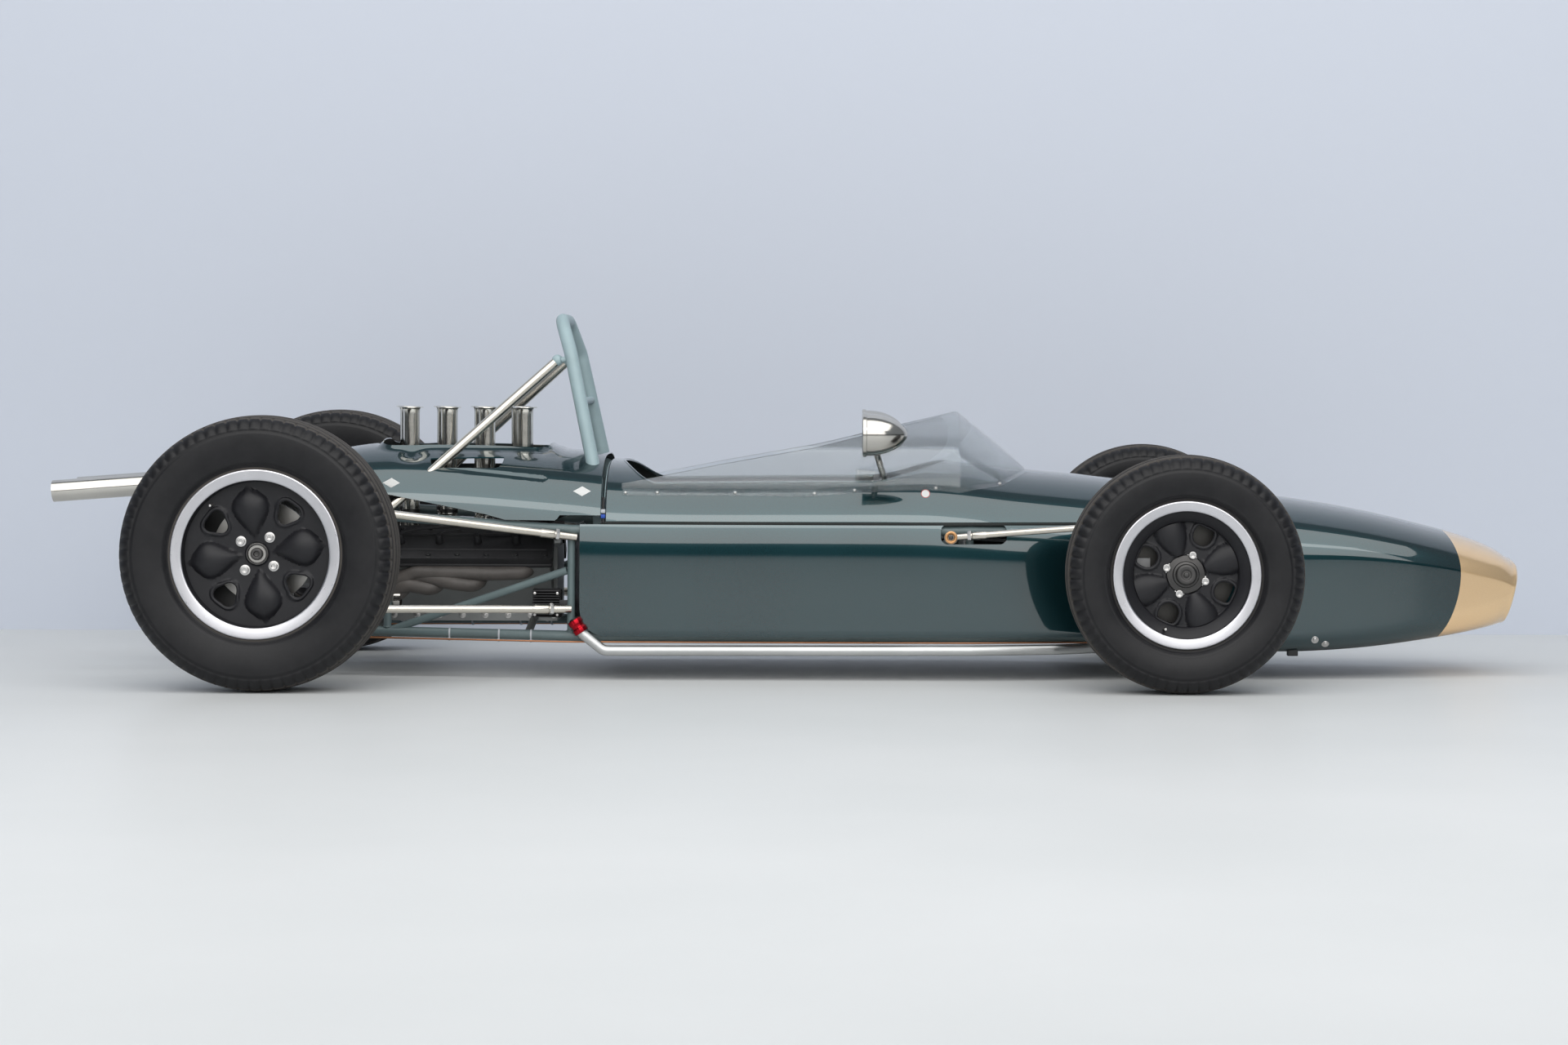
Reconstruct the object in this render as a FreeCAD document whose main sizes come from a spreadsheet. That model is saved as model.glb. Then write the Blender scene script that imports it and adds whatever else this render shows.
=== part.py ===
"""Open wheel racing car: a rear-engined V8 single-seater of the mid 1960s with a tubular frame.

Frame: +X to the nose, +Y to the driver's left, +Z up, ground at Z = 0, millimetres. The origin lies on
the ground under the middle of the car's length. Each sub-part is one object of the document.
"""
import FreeCAD, Part
import math
import os

import Sketcher

document = FreeCAD.newDocument("open_wheel_racing_car")
Vector = FreeCAD.Vector

# ---------------------------------------------------------------- driving dimensions
SIZES = [
    # running gear
    ("front_axle_x", 1003), ("wheelbase", 2290), ("front_track", 1320), ("rear_track", 1345),
    ("front_tyre_rad", 296), ("front_tyre_width", 190), ("front_rim_rad", 184), ("front_rim_width", 150),
    ("rear_tyre_rad", 341), ("rear_tyre_width", 225), ("rear_rim_rad", 210), ("rear_rim_width", 186),
    ("rim_wall", 6), ("lip_height", 17), ("front_dish", 44), ("rear_dish", 50), ("wheel_plate", 9), ("crown_drop", 6), ("crown_flat", 30),
    ("tyre_fit", 0.3), ("front_window_rad", 25), ("front_window_pcd_rad", 108),
    ("rear_window_rad", 28), ("rear_window_pcd_rad", 122),
    ("disc_rad", 127), ("disc_thick", 11), ("front_disc_offset", 46), ("rear_disc_offset", 58),
    ("hub_rad", 40), ("bearing_rad", 27), ("running_gap", 0.05), ("seat_gap", 0.3),
    ("kingpin_y", 577), ("kingpin_reach", 134), ("ball_rad", 11), ("steer_arm", 120), ("rod_end_drop", 20),
    # body
    ("body_half_width", 365), ("panel_wall", 3), ("panel_gap", 0.8), ("shut_line_z", 404),
    ("panel_low_z", 112), ("rear_corner", 70), ("nose_split_x", 985), ("cover_split_x", -470), ("floor_thick", 2),
    ("firewall_x", -523), ("screen_foot_x", 632), ("screen_wall", 3), ("screen_top_z", 690),
    ("cockpit_half_width", 285), ("cockpit_front_x", 430), ("cockpit_rear_x", -430),
    # frame
    ("rail_rad", 13), ("brace_rad", 10), ("frame_half_width", 325), ("lower_rail_z", 112),
    ("upper_rail_z", 385), ("hoop_rad", 17.5), ("hoop_bend", 60), ("hoop_top_z", 928), ("stay_rad", 12.5),
    ("rod_rad", 10.5), ("bracket_rad", 15), ("rack_rad", 12), ("rack_travel", 42), ("water_pipe_rad", 13.5), ("pipe_wall", 2),
    # power unit
    ("tailpipe_rad", 28.5), ("tail_tip_x", -1920), ("header_rad", 18), ("trumpet_rad", 22.5),
    ("flare_rad", 32), ("trumpet_top_z", 700), ("trumpet_pitch", 100), ("engine_length", 500),
    ("engine_width", 300), ("gearbox_length", 400), ("gearbox_width", 210),
    # cockpit
    ("steering_wheel_rad", 140), ("steering_grip_rad", 12), ("column_rad", 11), ("seat_half_width", 205),
    ("seat_wall", 4), ("pad_thick", 24), ("mirror_rad", 50), ("mirror_length", 105),
]
sheet = document.addObject("Spreadsheet::Sheet", "sizes")
for row, (alias, number) in enumerate(SIZES, start=1):
    sheet.set(f"A{row}", alias)
    sheet.set(f"B{row}", str(number))
    sheet.setAlias(f"B{row}", alias)
document.recompute()


def size(alias):
    """One driving dimension, in millimetres."""
    return float(sheet.get(alias))


# Places that follow from the driving dimensions.
FRONT_X = size("front_axle_x")
REAR_X = FRONT_X - size("wheelbase")
FRONT_Y = size("front_track") / 2
REAR_Y = size("rear_track") / 2
FRONT_Z = size("front_tyre_rad")
REAR_Z = size("rear_tyre_rad")
SIDES = (("left", 1), ("right", -1))
DESIGN_REAR_X = -1287


def along(x):
    """Design station to its place: the tail follows the rear axle, the cockpit takes up a longer wheelbase."""
    shift = REAR_X - DESIGN_REAR_X
    if x <= size("firewall_x"):
        return x + shift
    if x >= size("screen_foot_x"):
        return x
    share = (size("screen_foot_x") - x) / (size("screen_foot_x") - size("firewall_x"))
    return x + shift * share


def across(y):
    """Design half width to its place, for what lies inside the body."""
    return y * size("body_half_width") / 365


def point(x, y, z):
    """A point of the chassis, given at its design place."""
    return Vector(along(x), across(y), z)


# ---------------------------------------------------------------- helpers for solids
nodes = []


def keep(thing, name):
    """Names a finished object of the document and lists it for export."""
    thing.Label = name
    nodes.append(thing)
    return thing


def feature(name, solids):
    """A sub-part whose solids are set by code."""
    thing = document.addObject("Part::Feature", name)
    thing.Shape = solids[0] if len(solids) == 1 else Part.makeCompound(solids)
    thing.Placement = FreeCAD.Placement()
    return keep(thing, name)


def rod(start, end, radius, bore=0):
    """A straight round bar or tube from point to point."""
    line = end - start
    solid = Part.makeCylinder(radius, line.Length, start, line)
    if bore:
        solid = solid.cut(Part.makeCylinder(bore, line.Length, start, line))
    return solid


def chain_links(spots, radius):
    """The bars along a row of points and the balls that close its corners, each on its own."""
    solids = [rod(start, end, radius) for start, end in zip(spots, spots[1:])]
    return solids + [Part.makeSphere(radius, spot) for spot in spots[1:-1]]


def chain(spots, radius):
    """Round bar along a row of points, as one solid."""
    solids = chain_links(spots, radius)
    return solids[0].multiFuse(solids[1:])


def largest(shape, count=1):
    """The largest solids of a cut shape."""
    return sorted(shape.Solids, key=lambda piece: -piece.Volume)[:count]


def bent_path(corners, bend):
    """Straight runs joined by tangent arcs."""
    edges = []
    last = corners[0]
    for before, corner, after in zip(corners, corners[1:], corners[2:]):
        back = (before - corner).normalize()
        onward = (after - corner).normalize()
        half_turn = (math.pi - back.getAngle(onward)) / 2
        reach = bend * math.tan(half_turn)
        start = corner + back * reach
        end = corner + onward * reach
        bisector = (back + onward).normalize()
        middle = corner + bisector * (bend / math.cos(half_turn) - bend)
        edges.append(Part.LineSegment(last, start).toShape())
        edges.append(Part.Arc(start, middle, end).toShape())
        last = end
    edges.append(Part.LineSegment(last, corners[-1]).toShape())
    return Part.Wire(edges)


def bent_tube(corners, radius, bend, wall=0):
    """A tube bent round the corners of a route, hollow when a wall is given."""
    path = bent_path(corners, bend)
    heading = corners[1] - corners[0]

    def sweep(r):
        ring = Part.Wire([Part.makeCircle(r, corners[0], heading)])
        return path.makePipeShell([ring], True, False)

    solid = sweep(radius)
    return solid.cut(sweep(radius - wall)) if wall else solid


def block(x_low, x_high, y_low, y_high, z_low, z_high):
    """A box between corner values."""
    return Part.makeBox(x_high - x_low, y_high - y_low, z_high - z_low, Vector(x_low, y_low, z_low))


def plate_xz(outline, y_low, y_high):
    """A plate whose outline lies in the XZ plane, from one Y to another."""
    ring = [Vector(x, y_low, z) for x, z in outline]
    face = Part.Face(Part.makePolygon(ring + ring[:1]))
    return face.extrude(Vector(0, y_high - y_low, 0))


def mirror(solid):
    """The same solid on the other side of the car."""
    return solid.mirror(Vector(0, 0, 0), Vector(0, 1, 0))


# ---------------------------------------------------------------- helpers for part design bodies
def origin_plane(body, role):
    return [item for item in body.Origin.OriginFeatures if item.Role == role][0]


def arc_through(start, via, end):
    """The arc through three points, stored anticlockwise as sketches keep it."""
    centre = Part.Arc(start, via, end).toShape().Curve.Center
    circle = Part.Circle(centre, Vector(0, 0, 1), (start - centre).Length)
    angles = [math.atan2(spot.y - centre.y, spot.x - centre.x) for spot in (start, via, end)]
    full = 2 * math.pi
    if (angles[1] - angles[0]) % full < (angles[2] - angles[0]) % full:
        return Part.ArcOfCircle(circle, angles[0], angles[0] + (angles[2] - angles[0]) % full)
    return Part.ArcOfCircle(circle, angles[2], angles[2] + (angles[0] - angles[2]) % full)


def sketch_loop(body, name, role, corners):
    """A closed sketch. Each corner is (x, y) or (x, y, via x, via y), as sheet expressions.

    A corner with a via point starts an arc through it; the others start a line.
    """
    sketch = body.newObject("Sketcher::SketchObject", name)
    sketch.AttachmentSupport = [(origin_plane(body, role), "")]
    sketch.MapMode = "FlatFace"
    value = lambda text: float(sketch.evalExpression(text))
    spots = [Vector(value(c[0]), value(c[1]), 0) for c in corners]
    for number, corner in enumerate(corners):
        start, end = spots[number], spots[(number + 1) % len(spots)]
        if len(corner) == 4:
            via = Vector(value(corner[2]), value(corner[3]), 0)
            sketch.addGeometry(arc_through(start, via, end))
        else:
            sketch.addGeometry(Part.LineSegment(start, end))

    constraints, bindings = [], []

    def fix(geometry, vertex, x_text, y_text):
        for kind, text, axis in (("DistanceX", x_text, -2), ("DistanceY", y_text, -1)):
            if abs(value(text)) < 1e-9:
                constraints.append(Sketcher.Constraint("PointOnObject", geometry, vertex, axis))
                continue
            bindings.append((len(constraints), text))
            constraints.append(Sketcher.Constraint(kind, -1, 1, geometry, vertex, value(text)))

    # An arc always runs anticlockwise, so which of its ends is the first corner depends on its bend.
    for number, corner in enumerate(corners):
        geometry = sketch.Geometry[number]
        if isinstance(geometry, Part.ArcOfCircle):
            first = 1 if (geometry.StartPoint - spots[number]).Length < 1e-6 else 2
        else:
            first = 1
        following = (number + 1) % len(corners)
        fix(number, first, corner[0], corner[1])
        fix(number, 3 - first, corners[following][0], corners[following][1])
        if len(corner) == 4:
            mark = sketch.addGeometry(Part.Point(Vector(value(corner[2]), value(corner[3]), 0)), True)
            fix(mark, 1, corner[2], corner[3])
            constraints.append(Sketcher.Constraint("PointOnObject", mark, 1, number))
    sketch.addConstraint(constraints)
    for index, text in bindings:
        sketch.setExpression(f"Constraints[{index}]", text)
    return sketch


def turned_body(name, corners):
    """A body turned about its own Y axis; sketch x is the radius and sketch y runs along the axis."""
    body = document.addObject("PartDesign::Body", name)
    sketch = sketch_loop(body, name + "_profile", "XY_Plane", corners)
    document.recompute()
    turned = body.newObject("PartDesign::Revolution", name + "_turned")
    turned.Profile = sketch
    turned.ReferenceAxis = (sketch, ["V_Axis"])
    turned.Angle = 360
    body.Tip = turned
    document.recompute()
    return body


def mirrored(source, name):
    """The right-hand twin of a left-hand object, which follows it through every change."""
    twin = document.addObject("Part::Mirroring", name)
    twin.Source = source
    twin.Base = Vector(0, 0, 0)
    twin.Normal = Vector(0, 1, 0)
    return keep(twin, name)


# ---------------------------------------------------------------- frame
RAIL_STATIONS = [
    # x, half width of the lower rail, half width of the upper rail, lower z, upper z
    (-1400, 185, 205, 119, 440),
    (-546, 325, 325, 112, 385),
    (480, 325, 325, 112, 385),
    (1180, 225, 218, 112, 385),
]
NOSE_RAIL_X = 1405
UPRIGHT_STATIONS = (-1400, -1029, -546, -40, 480, 880, 1180)
DIAGONALS = [
    # x and z of one end, x and z of the other
    (-557, 280, -1029, 117),
    (-40, 112, 480, 385),
    (480, 112, 880, 385),
]
CROSS_TUBES = [
    # x, heights
    (1180, (112, 290, 385)),
    (880, (112, 385)),
    (480, (112, 385)),
    (-480, (385,)),
    (-546, (112,)),
    (-1400, (119, 440)),
]


def rail_spot(x, side, upper):
    """A point on a rail's axis at a design station."""
    widest = size("frame_half_width") / 325
    lift = (size("upper_rail_z") - 385) if upper else (size("lower_rail_z") - 112)
    for rear, front in zip(RAIL_STATIONS, RAIL_STATIONS[1:]):
        if x <= front[0] or front is RAIL_STATIONS[-1]:
            share = (x - rear[0]) / (front[0] - rear[0])
            half, z = [rear[i] + share * (front[i] - rear[i]) for i in ((2, 4) if upper else (1, 3))]
            return point(x, side * half * widest, z + lift)


def frame_side_spot(x, z, side):
    """A point in the plane of one frame side, at a height between its two rails."""
    low, high = rail_spot(x, side, False), rail_spot(x, side, True)
    return low + (high - low) * ((z - low.z) / (high.z - low.z))


def frame_side_tubes(side, grow=0):
    """The straight tubes and corner balls of one frame side, grown by a clearance when asked."""
    rails = [[rail_spot(row[0], side, upper) for row in RAIL_STATIONS] for upper in (True, False)]
    rails[1].append(point(NOSE_RAIL_X, side * 185, size("lower_rail_z")))
    tubes = [link for rail in rails for link in chain_links(rail, size("rail_rad") + grow)]
    thin = size("brace_rad") + grow
    for x in UPRIGHT_STATIONS:
        tubes.append(rod(rail_spot(x, side, False), rail_spot(x, side, True), thin))
    for x_a, z_a, x_b, z_b in DIAGONALS:
        tubes.append(rod(frame_side_spot(x_a, z_a, side), frame_side_spot(x_b, z_b, side), thin))
    return tubes


def cross_tubes(grow=0):
    """Cross tubes between the sides, from rail axis to rail axis."""
    tubes = []
    for x, heights in CROSS_TUBES:
        for z in heights:
            ends = [frame_side_spot(x, z, side) for _, side in SIDES]
            tubes.append(rod(ends[0], ends[1], size("brace_rad") + grow))
    return tubes


sides_clear = Part.makeCompound([tube for _, side in SIDES for tube in frame_side_tubes(side, size("seat_gap"))])
frame_clear = Part.makeCompound(sides_clear.Solids + cross_tubes(size("seat_gap")))


def seated(solid, neighbour=None):
    """A piece cut back to stand its seat gap off what it meets, the frame when nothing is named."""
    trimmed = solid
    for piece in (frame_clear if neighbour is None else neighbour).Solids:
        if piece.BoundBox.intersect(trimmed.BoundBox):
            trimmed = trimmed.cut(piece)
    return largest(trimmed)[0]


def frame():
    """The welded sides and the cross tubes between them."""
    for name, side in SIDES:
        tubes = frame_side_tubes(side)
        feature(f"frame_side_{name}", tubes[0].multiFuse(tubes[1:]).Solids)
    feature("frame_crossmembers", [seated_between(tube) for tube in cross_tubes()])


def seated_between(tube):
    """A cross tube cut back at both rails."""
    trimmed = tube
    for piece in sides_clear.Solids:
        if piece.BoundBox.intersect(trimmed.BoundBox):
            trimmed = trimmed.cut(piece)
    return largest(trimmed)[0]


frame()


# ---------------------------------------------------------------- wheels
AXLES = [
    # end, wheel centre on the left
    ("front", Vector(FRONT_X, FRONT_Y, FRONT_Z)),
    ("rear", Vector(REAR_X, REAR_Y, REAR_Z)),
]


def tyre(end, centre):
    """Tyre: crowned tread, round shoulders and sidewalls, open at the beads."""
    bead = f"sizes.{end}_rim_rad - sizes.lip_height + sizes.tyre_fit"
    outer = f"sizes.{end}_tyre_rad"
    half = f"sizes.{end}_tyre_width / 2"
    heel = f"sizes.{end}_rim_width / 2 - sizes.rim_wall - 1"
    profile = [
        (bead, f"-({heel})"),
        (bead, heel),
        (f"{bead} + sizes.lip_height + 3", heel),
        (f"{bead} + sizes.lip_height + 6", f"{half} - 8",
         f"({bead} + {outer}) / 2 + 8", half),
        (f"{outer} - 20", f"{half} - 8", f"{outer} - 10", f"{half} - 16"),
        (f"{outer} - sizes.crown_drop", f"{half} - 28",
         f"{outer} - sizes.crown_drop * 0.12", f"({half} + sizes.crown_flat - 28) / 2"),
        (outer, "sizes.crown_flat"),
        (outer, "-(sizes.crown_flat)",
         f"{outer} - sizes.crown_drop * 0.12", f"-({half} + sizes.crown_flat - 28) / 2"),
        (f"{outer} - sizes.crown_drop", f"-({half} - 28)", f"{outer} - 10", f"-({half} - 16)"),
        (f"{outer} - 20", f"-({half} - 8)", f"({bead} + {outer}) / 2 + 8", f"-({half})"),
        (f"{bead} + sizes.lip_height + 6", f"-({half} - 8)"),
        (f"{bead} + sizes.lip_height + 3", f"-({heel})"),
    ]
    body = turned_body(f"tyre_{end}_left", profile)
    body.Placement.Base = centre
    keep(body, f"tyre_{end}_left")
    mirrored(body, f"tyre_{end}_right")


def rim(end, centre):
    """Cast wheel: barrel with two lips, dished plate and four windows."""
    lip = f"sizes.{end}_rim_rad"
    seat = f"({lip} - sizes.lip_height)"
    inner = f"({seat} - sizes.rim_wall)"
    half = f"(sizes.{end}_rim_width / 2)"
    face = f"({half} - sizes.{end}_dish)"
    back = f"({face} - sizes.wheel_plate)"
    profile = [
        ("sizes.bearing_rad", back),
        ("sizes.bearing_rad", face),
        (inner, face),
        (inner, f"{half} - sizes.rim_wall"),
        (f"{lip} - 2", half),
        (lip, half),
        (lip, f"{half} - sizes.rim_wall"),
        (seat, f"{half} - sizes.rim_wall"),
        (seat, f"-({half} - sizes.rim_wall)"),
        (lip, f"-({half} - sizes.rim_wall)"),
        (lip, f"-{half}"),
        (f"{lip} - 2", f"-{half}"),
        (inner, f"-({half} - sizes.rim_wall)"),
        (inner, back),
    ]
    body = turned_body(f"wheel_{end}_left", profile)
    before = body.Shape.Volume
    window = body.newObject("Sketcher::SketchObject", f"window_{end}")
    window.AttachmentSupport = [(origin_plane(body, "XZ_Plane"), "")]
    window.MapMode = "FlatFace"
    place = size(f"{end}_window_pcd_rad")
    diagonal = math.sqrt(0.5)
    window.addGeometry(Part.Circle(Vector(place * diagonal, place * diagonal, 0), Vector(0, 0, 1),
                                   size(f"{end}_window_rad")))
    for kind in ("DistanceX", "DistanceY"):
        index = window.addConstraint(Sketcher.Constraint(kind, -1, 1, 0, 3, place * diagonal))
        window.setExpression(f"Constraints[{index}]", f"sizes.{end}_window_pcd_rad * sqrt(0.5)")
    index = window.addConstraint(Sketcher.Constraint("Radius", 0, size(f"{end}_window_rad")))
    window.setExpression(f"Constraints[{index}]", f"sizes.{end}_window_rad")
    document.recompute()
    pocket = body.newObject("PartDesign::Pocket", f"window_cut_{end}")
    pocket.Profile = window
    pocket.Type = 1
    pocket.Midplane = True
    document.recompute()
    pattern = body.newObject("PartDesign::PolarPattern", f"windows_{end}")
    pattern.Originals = [pocket]
    pattern.Axis = ([item for item in body.Origin.OriginFeatures if item.Role == "Y_Axis"][0], [""])
    pattern.Angle = 360
    pattern.Occurrences = 4
    body.Tip = pattern
    document.recompute()
    if body.Shape.Volume > before - 4 * 1000:
        raise RuntimeError(f"the windows of wheel_{end}_left cut nothing")
    body.Placement.Base = centre
    keep(body, f"wheel_{end}_left")
    mirrored(body, f"wheel_{end}_right")


for axle in AXLES:
    tyre(*axle)
    rim(*axle)


def spindle(end, centre):
    """Hub with its brake disc; the rear one carries the half shaft to the gearbox."""
    out = Vector(0, 1, 0)
    face = size(f"{end}_rim_width") / 2 - size(f"{end}_dish")
    back = face - size("wheel_plate")
    disc_at = -size(f"{end}_disc_offset") + 10
    gap = size("seat_gap")

    def turned(radius, start, end_at):
        return Part.makeCylinder(radius, end_at - start, centre + out * start, out)

    pieces = [
        turned(size("bearing_rad") - gap, back - 4, face + 14),
        turned(size("hub_rad"), disc_at, back - gap),
        turned(size("disc_rad"), disc_at, disc_at + size("disc_thick")),
    ]
    if end == "front":
        pieces.append(turned(size("bearing_rad") - 9, disc_at - 26, disc_at + 1))
    else:
        inner = -(centre.y - size("gearbox_width") / 2 - 12)
        pieces += [
            turned(size("bearing_rad") - 9, disc_at - 70, disc_at + 1),
            turned(34, disc_at - 110, disc_at - 66),
            turned(15, inner, disc_at - 100),
            turned(40, inner, inner + 50),
        ]
    solid = pieces[0].multiFuse(pieces[1:])
    label = "front_hub" if end == "front" else "half_shaft"
    left = feature(f"{label}_left", [solid.removeSplitter()])
    mirrored(left, f"{label}_right")


for axle in AXLES:
    spindle(*axle)


# ---------------------------------------------------------------- body shell
# The skin's cross-sections: crown height, half width, floor height, where the shoulder starts and ends.
SECTION_COLUMNS = ("x", "top", "half", "floor", "side_z", "shoulder_y", "shoulder_z", "corner", "wall")
TUB_SECTIONS = [
    (-523, 575, 350, 95, 400, 300, 492, 30, 3),
    (-250, 558, 362, 95, 400, 316, 488, 30, 3),
    (60, 560, 365, 95, 400, 325, 486, 30, 3),
    (360, 566, 361, 95, 396, 316, 487, 30, 3),
    (632, 538, 340, 92, 380, 280, 470, 34, 3),
    (985, 503, 301, 82, 345, 228, 436, 40, 3),
]
NOSE_SECTIONS = [
    (985, 503, 301, 82, 345, 228, 436, 40, 3),
    (1301, 469, 281, 71, 300, 196, 398, 46, 3),
    (1500, 438, 262, 80, 275, 178, 366, 52, 3),
    (1680, 398, 238, 101, 258, 156, 334, 56, 3),
    (1817, 362, 209, 120, 244, 132, 306, 64, 6),
    (1890, 333, 187, 132, 232, 118, 286, 74, 13),
    (1920, 310, 174, 138, 226, 110, 269, 84, 20),
]
COVER_SECTIONS = [
    (-466, 577, 352, 398, 425, 300, 500, 8, 3),
    (-620, 592, 334, 390, 440, 268, 545, 8, 3),
    (-850, 604, 300, 390, 470, 228, 582, 8, 3),
    (-1080, 604, 268, 400, 480, 205, 584, 8, 3),
    (-1230, 580, 240, 420, 480, 190, 560, 8, 3),
]


def skin_section(row, inset):
    """One closed cross-section of the skin, drawn inset by a wall."""
    at = dict(zip(SECTION_COLUMNS, row))
    x = along(at["x"])
    half = across(at["half"]) - inset
    top = at["top"] - inset
    floor = at["floor"] + inset
    side_z = at["side_z"]
    shoulder_y = across(at["shoulder_y"]) - inset * 0.6
    shoulder_z = at["shoulder_z"] - inset * 0.8
    corner = max(at["corner"] - inset, 4)
    bend = math.sqrt(0.5)

    def spot(y, z):
        return Vector(x, y, z)

    def half_edges(sign):
        low = spot(sign * (half - corner), floor)
        side_low = spot(sign * half, floor + corner)
        side_top = spot(sign * half, side_z)
        shoulder = spot(sign * shoulder_y, shoulder_z)
        corner_via = spot(sign * (half - corner * (1 - bend)), floor + corner * (1 - bend))
        shoulder_via = spot(sign * (half - (half - shoulder_y) * (1 - bend)),
                            side_z + (shoulder_z - side_z) * bend)
        return [
            Part.Arc(low, corner_via, side_low).toShape(),
            Part.LineSegment(side_low, side_top).toShape(),
            Part.Arc(side_top, shoulder_via, shoulder).toShape(),
        ]

    crown = Part.Arc(spot(shoulder_y, shoulder_z), spot(0, top), spot(-shoulder_y, shoulder_z)).toShape()
    base = Part.LineSegment(spot(-(half - corner), floor), spot(half - corner, floor)).toShape()
    return Part.Wire(Part.__sortEdges__(half_edges(1) + [crown] + half_edges(-1)[::-1] + [base]))


def skin(rows, grow=0):
    """The solid enclosed by the skin's outer face."""
    return Part.makeLoft([skin_section(row, -grow) for row in rows], True, True)


def hollow(rows, extra=0):
    """The space inside the skin."""
    walls = [skin_section(row, dict(zip(SECTION_COLUMNS, row))["wall"] + extra) for row in rows]
    return Part.makeLoft(walls, True, True)


tub_shell = skin(TUB_SECTIONS).cut(hollow(TUB_SECTIONS))
tub_clear = skin(TUB_SECTIONS, size("seat_gap") * 2)
nose_shell = skin(NOSE_SECTIONS).cut(hollow(NOSE_SECTIONS))

# Where the front suspension and the steering rods pass through the skin, on both sides.
SKIN_WINDOWS = [
    # x from, x to, z from, z to
    (835, 1150, 100, 176),
    (975, 1031, 376, 440),
    (1031, 1090, 270, 380),
    (1090, 1156, 258, 318),
    (405, 575, 350, 420),
]


def skin_windows():
    """Cutting boxes for the openings in the skin."""
    boxes = []
    for x_low, x_high, z_low, z_high in SKIN_WINDOWS:
        for _, side in SIDES:
            low, high = sorted((side * across(190), side * across(400)))
            boxes.append(block(along(x_low), along(x_high), low, high, z_low, z_high))
    return Part.makeCompound(boxes)


def cockpit_mouth():
    """The opening in the top of the body: square behind the seat, round in front."""
    half = across(size("cockpit_half_width"))
    back = along(size("cockpit_rear_x"))
    front = along(size("cockpit_front_x"))
    turn = front - half * 0.75
    low = size("shut_line_z") - 20
    edges = [
        Part.LineSegment(Vector(back, half, low), Vector(turn, half, low)).toShape(),
        Part.Arc(Vector(turn, half, low), Vector(front, 0, low), Vector(turn, -half, low)).toShape(),
        Part.LineSegment(Vector(turn, -half, low), Vector(back, -half, low)).toShape(),
        Part.LineSegment(Vector(back, -half, low), Vector(back, half, low)).toShape(),
    ]
    return Part.Face(Part.Wire(edges)).extrude(Vector(0, 0, 400))


def hoop_route():
    """The roll hoop's corners, from the cross tube on the left over the top to the right."""
    foot_z = size("upper_rail_z") + size("brace_rad") + size("seat_gap")
    left = [point(-480, 225, foot_z), point(-488, 222, 500), point(-561, 172, 840),
            point(-590, 110, size("hoop_top_z"))]
    return left + [Vector(spot.x, -spot.y, spot.z) for spot in reversed(left)]


def stay_line(side):
    """A stay's run, from the hoop's bracket to the upper rail."""
    return point(-597, side * 165, 822), rail_spot(-1045, side, True)


def mirror_foot(side):
    """Where a mirror's strut stands on the body, and the centre of its rim."""
    return Vector(along(238), side * across(328), 452), Vector(along(203), side * across(398), 634)


def panel_lugs(side):
    """Fastener lugs of a side panel, from its skin to the upper and lower rails."""
    lugs = []
    for x in (-480, -200, 250, 700):
        for upper in (True, False):
            rail = rail_spot(x, side, upper)
            out = Vector(rail.x, side * across(380), rail.z if upper else rail.z + 9)
            lugs.append(rod(Vector(rail.x, rail.y, out.z), out, 6))
    return lugs


def side_panel(name, side):
    """Flat-sided door-length panel below the shut line, with its lugs."""
    rear = along(size("firewall_x"))
    split = size("nose_split_x")
    gap = size("panel_gap")
    inner, outer = sorted((side * 150, side * 500))
    panel = tub_shell.common(block(rear, split - gap / 2, inner, outer, size("panel_low_z"),
                                   size("shut_line_z") - gap / 2))
    heel = size("rear_corner")
    low = size("panel_low_z")
    notch = block(rear - 1, rear + heel, inner, outer, low - 1, low + heel)
    notch = notch.cut(Part.makeCylinder(heel, 1000, Vector(rear + heel, -500, low + heel), Vector(0, 1, 0)))
    panel = panel.cut(notch)
    inside = skin(TUB_SECTIONS, -1)
    lugs = [seated(lug.common(inside)) for lug in panel_lugs(side)]
    panel = panel.multiFuse(lugs).cut(skin_windows())
    feature(f"side_panel_{name}", largest(panel, 1))


def body_panels():
    """Upper body and nose, parted at their shut lines, and the two side panels."""
    rear = along(size("cover_split_x"))
    split = size("nose_split_x")
    gap = size("panel_gap")
    windows = skin_windows()
    upper = tub_shell.common(block(rear + gap / 2, split - gap / 2, -500, 500, size("shut_line_z") + gap / 2, 900))
    upper = upper.cut(cockpit_mouth()).cut(windows)
    feature("cockpit_surround", largest(upper))
    for name, side in SIDES:
        side_panel(name, side)
    lean = math.atan2(35, 163)
    cutter = Part.makeBox(200, 800, 800, Vector(0, -400, -400))
    cutter.rotate(Vector(0, 0, 0), Vector(0, 1, 0), math.degrees(lean))
    cutter.translate(Vector(1920, 0, 294))
    nose = nose_shell.common(block(split + gap / 2, 2000, -500, 500, 0, 900)).cut(windows).cut(cutter)
    feature("nose_cone", largest(nose))


body_panels()


def undertray():
    """Flat floor sheet riveted under the lower rails."""
    top = size("lower_rail_z") - size("rail_rad") - size("seat_gap")
    low = top - size("floor_thick")
    edge = [rail_spot(x, 1, False) for x in (-540, 480, 850)]
    ring = [Vector(spot.x, spot.y, low) for spot in edge] + [Vector(spot.x, -spot.y, low) for spot in edge[::-1]]
    face = Part.Face(Part.makePolygon(ring + ring[:1]))
    feature("undertray", [face.extrude(Vector(0, 0, size("floor_thick")))])


undertray()


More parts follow.
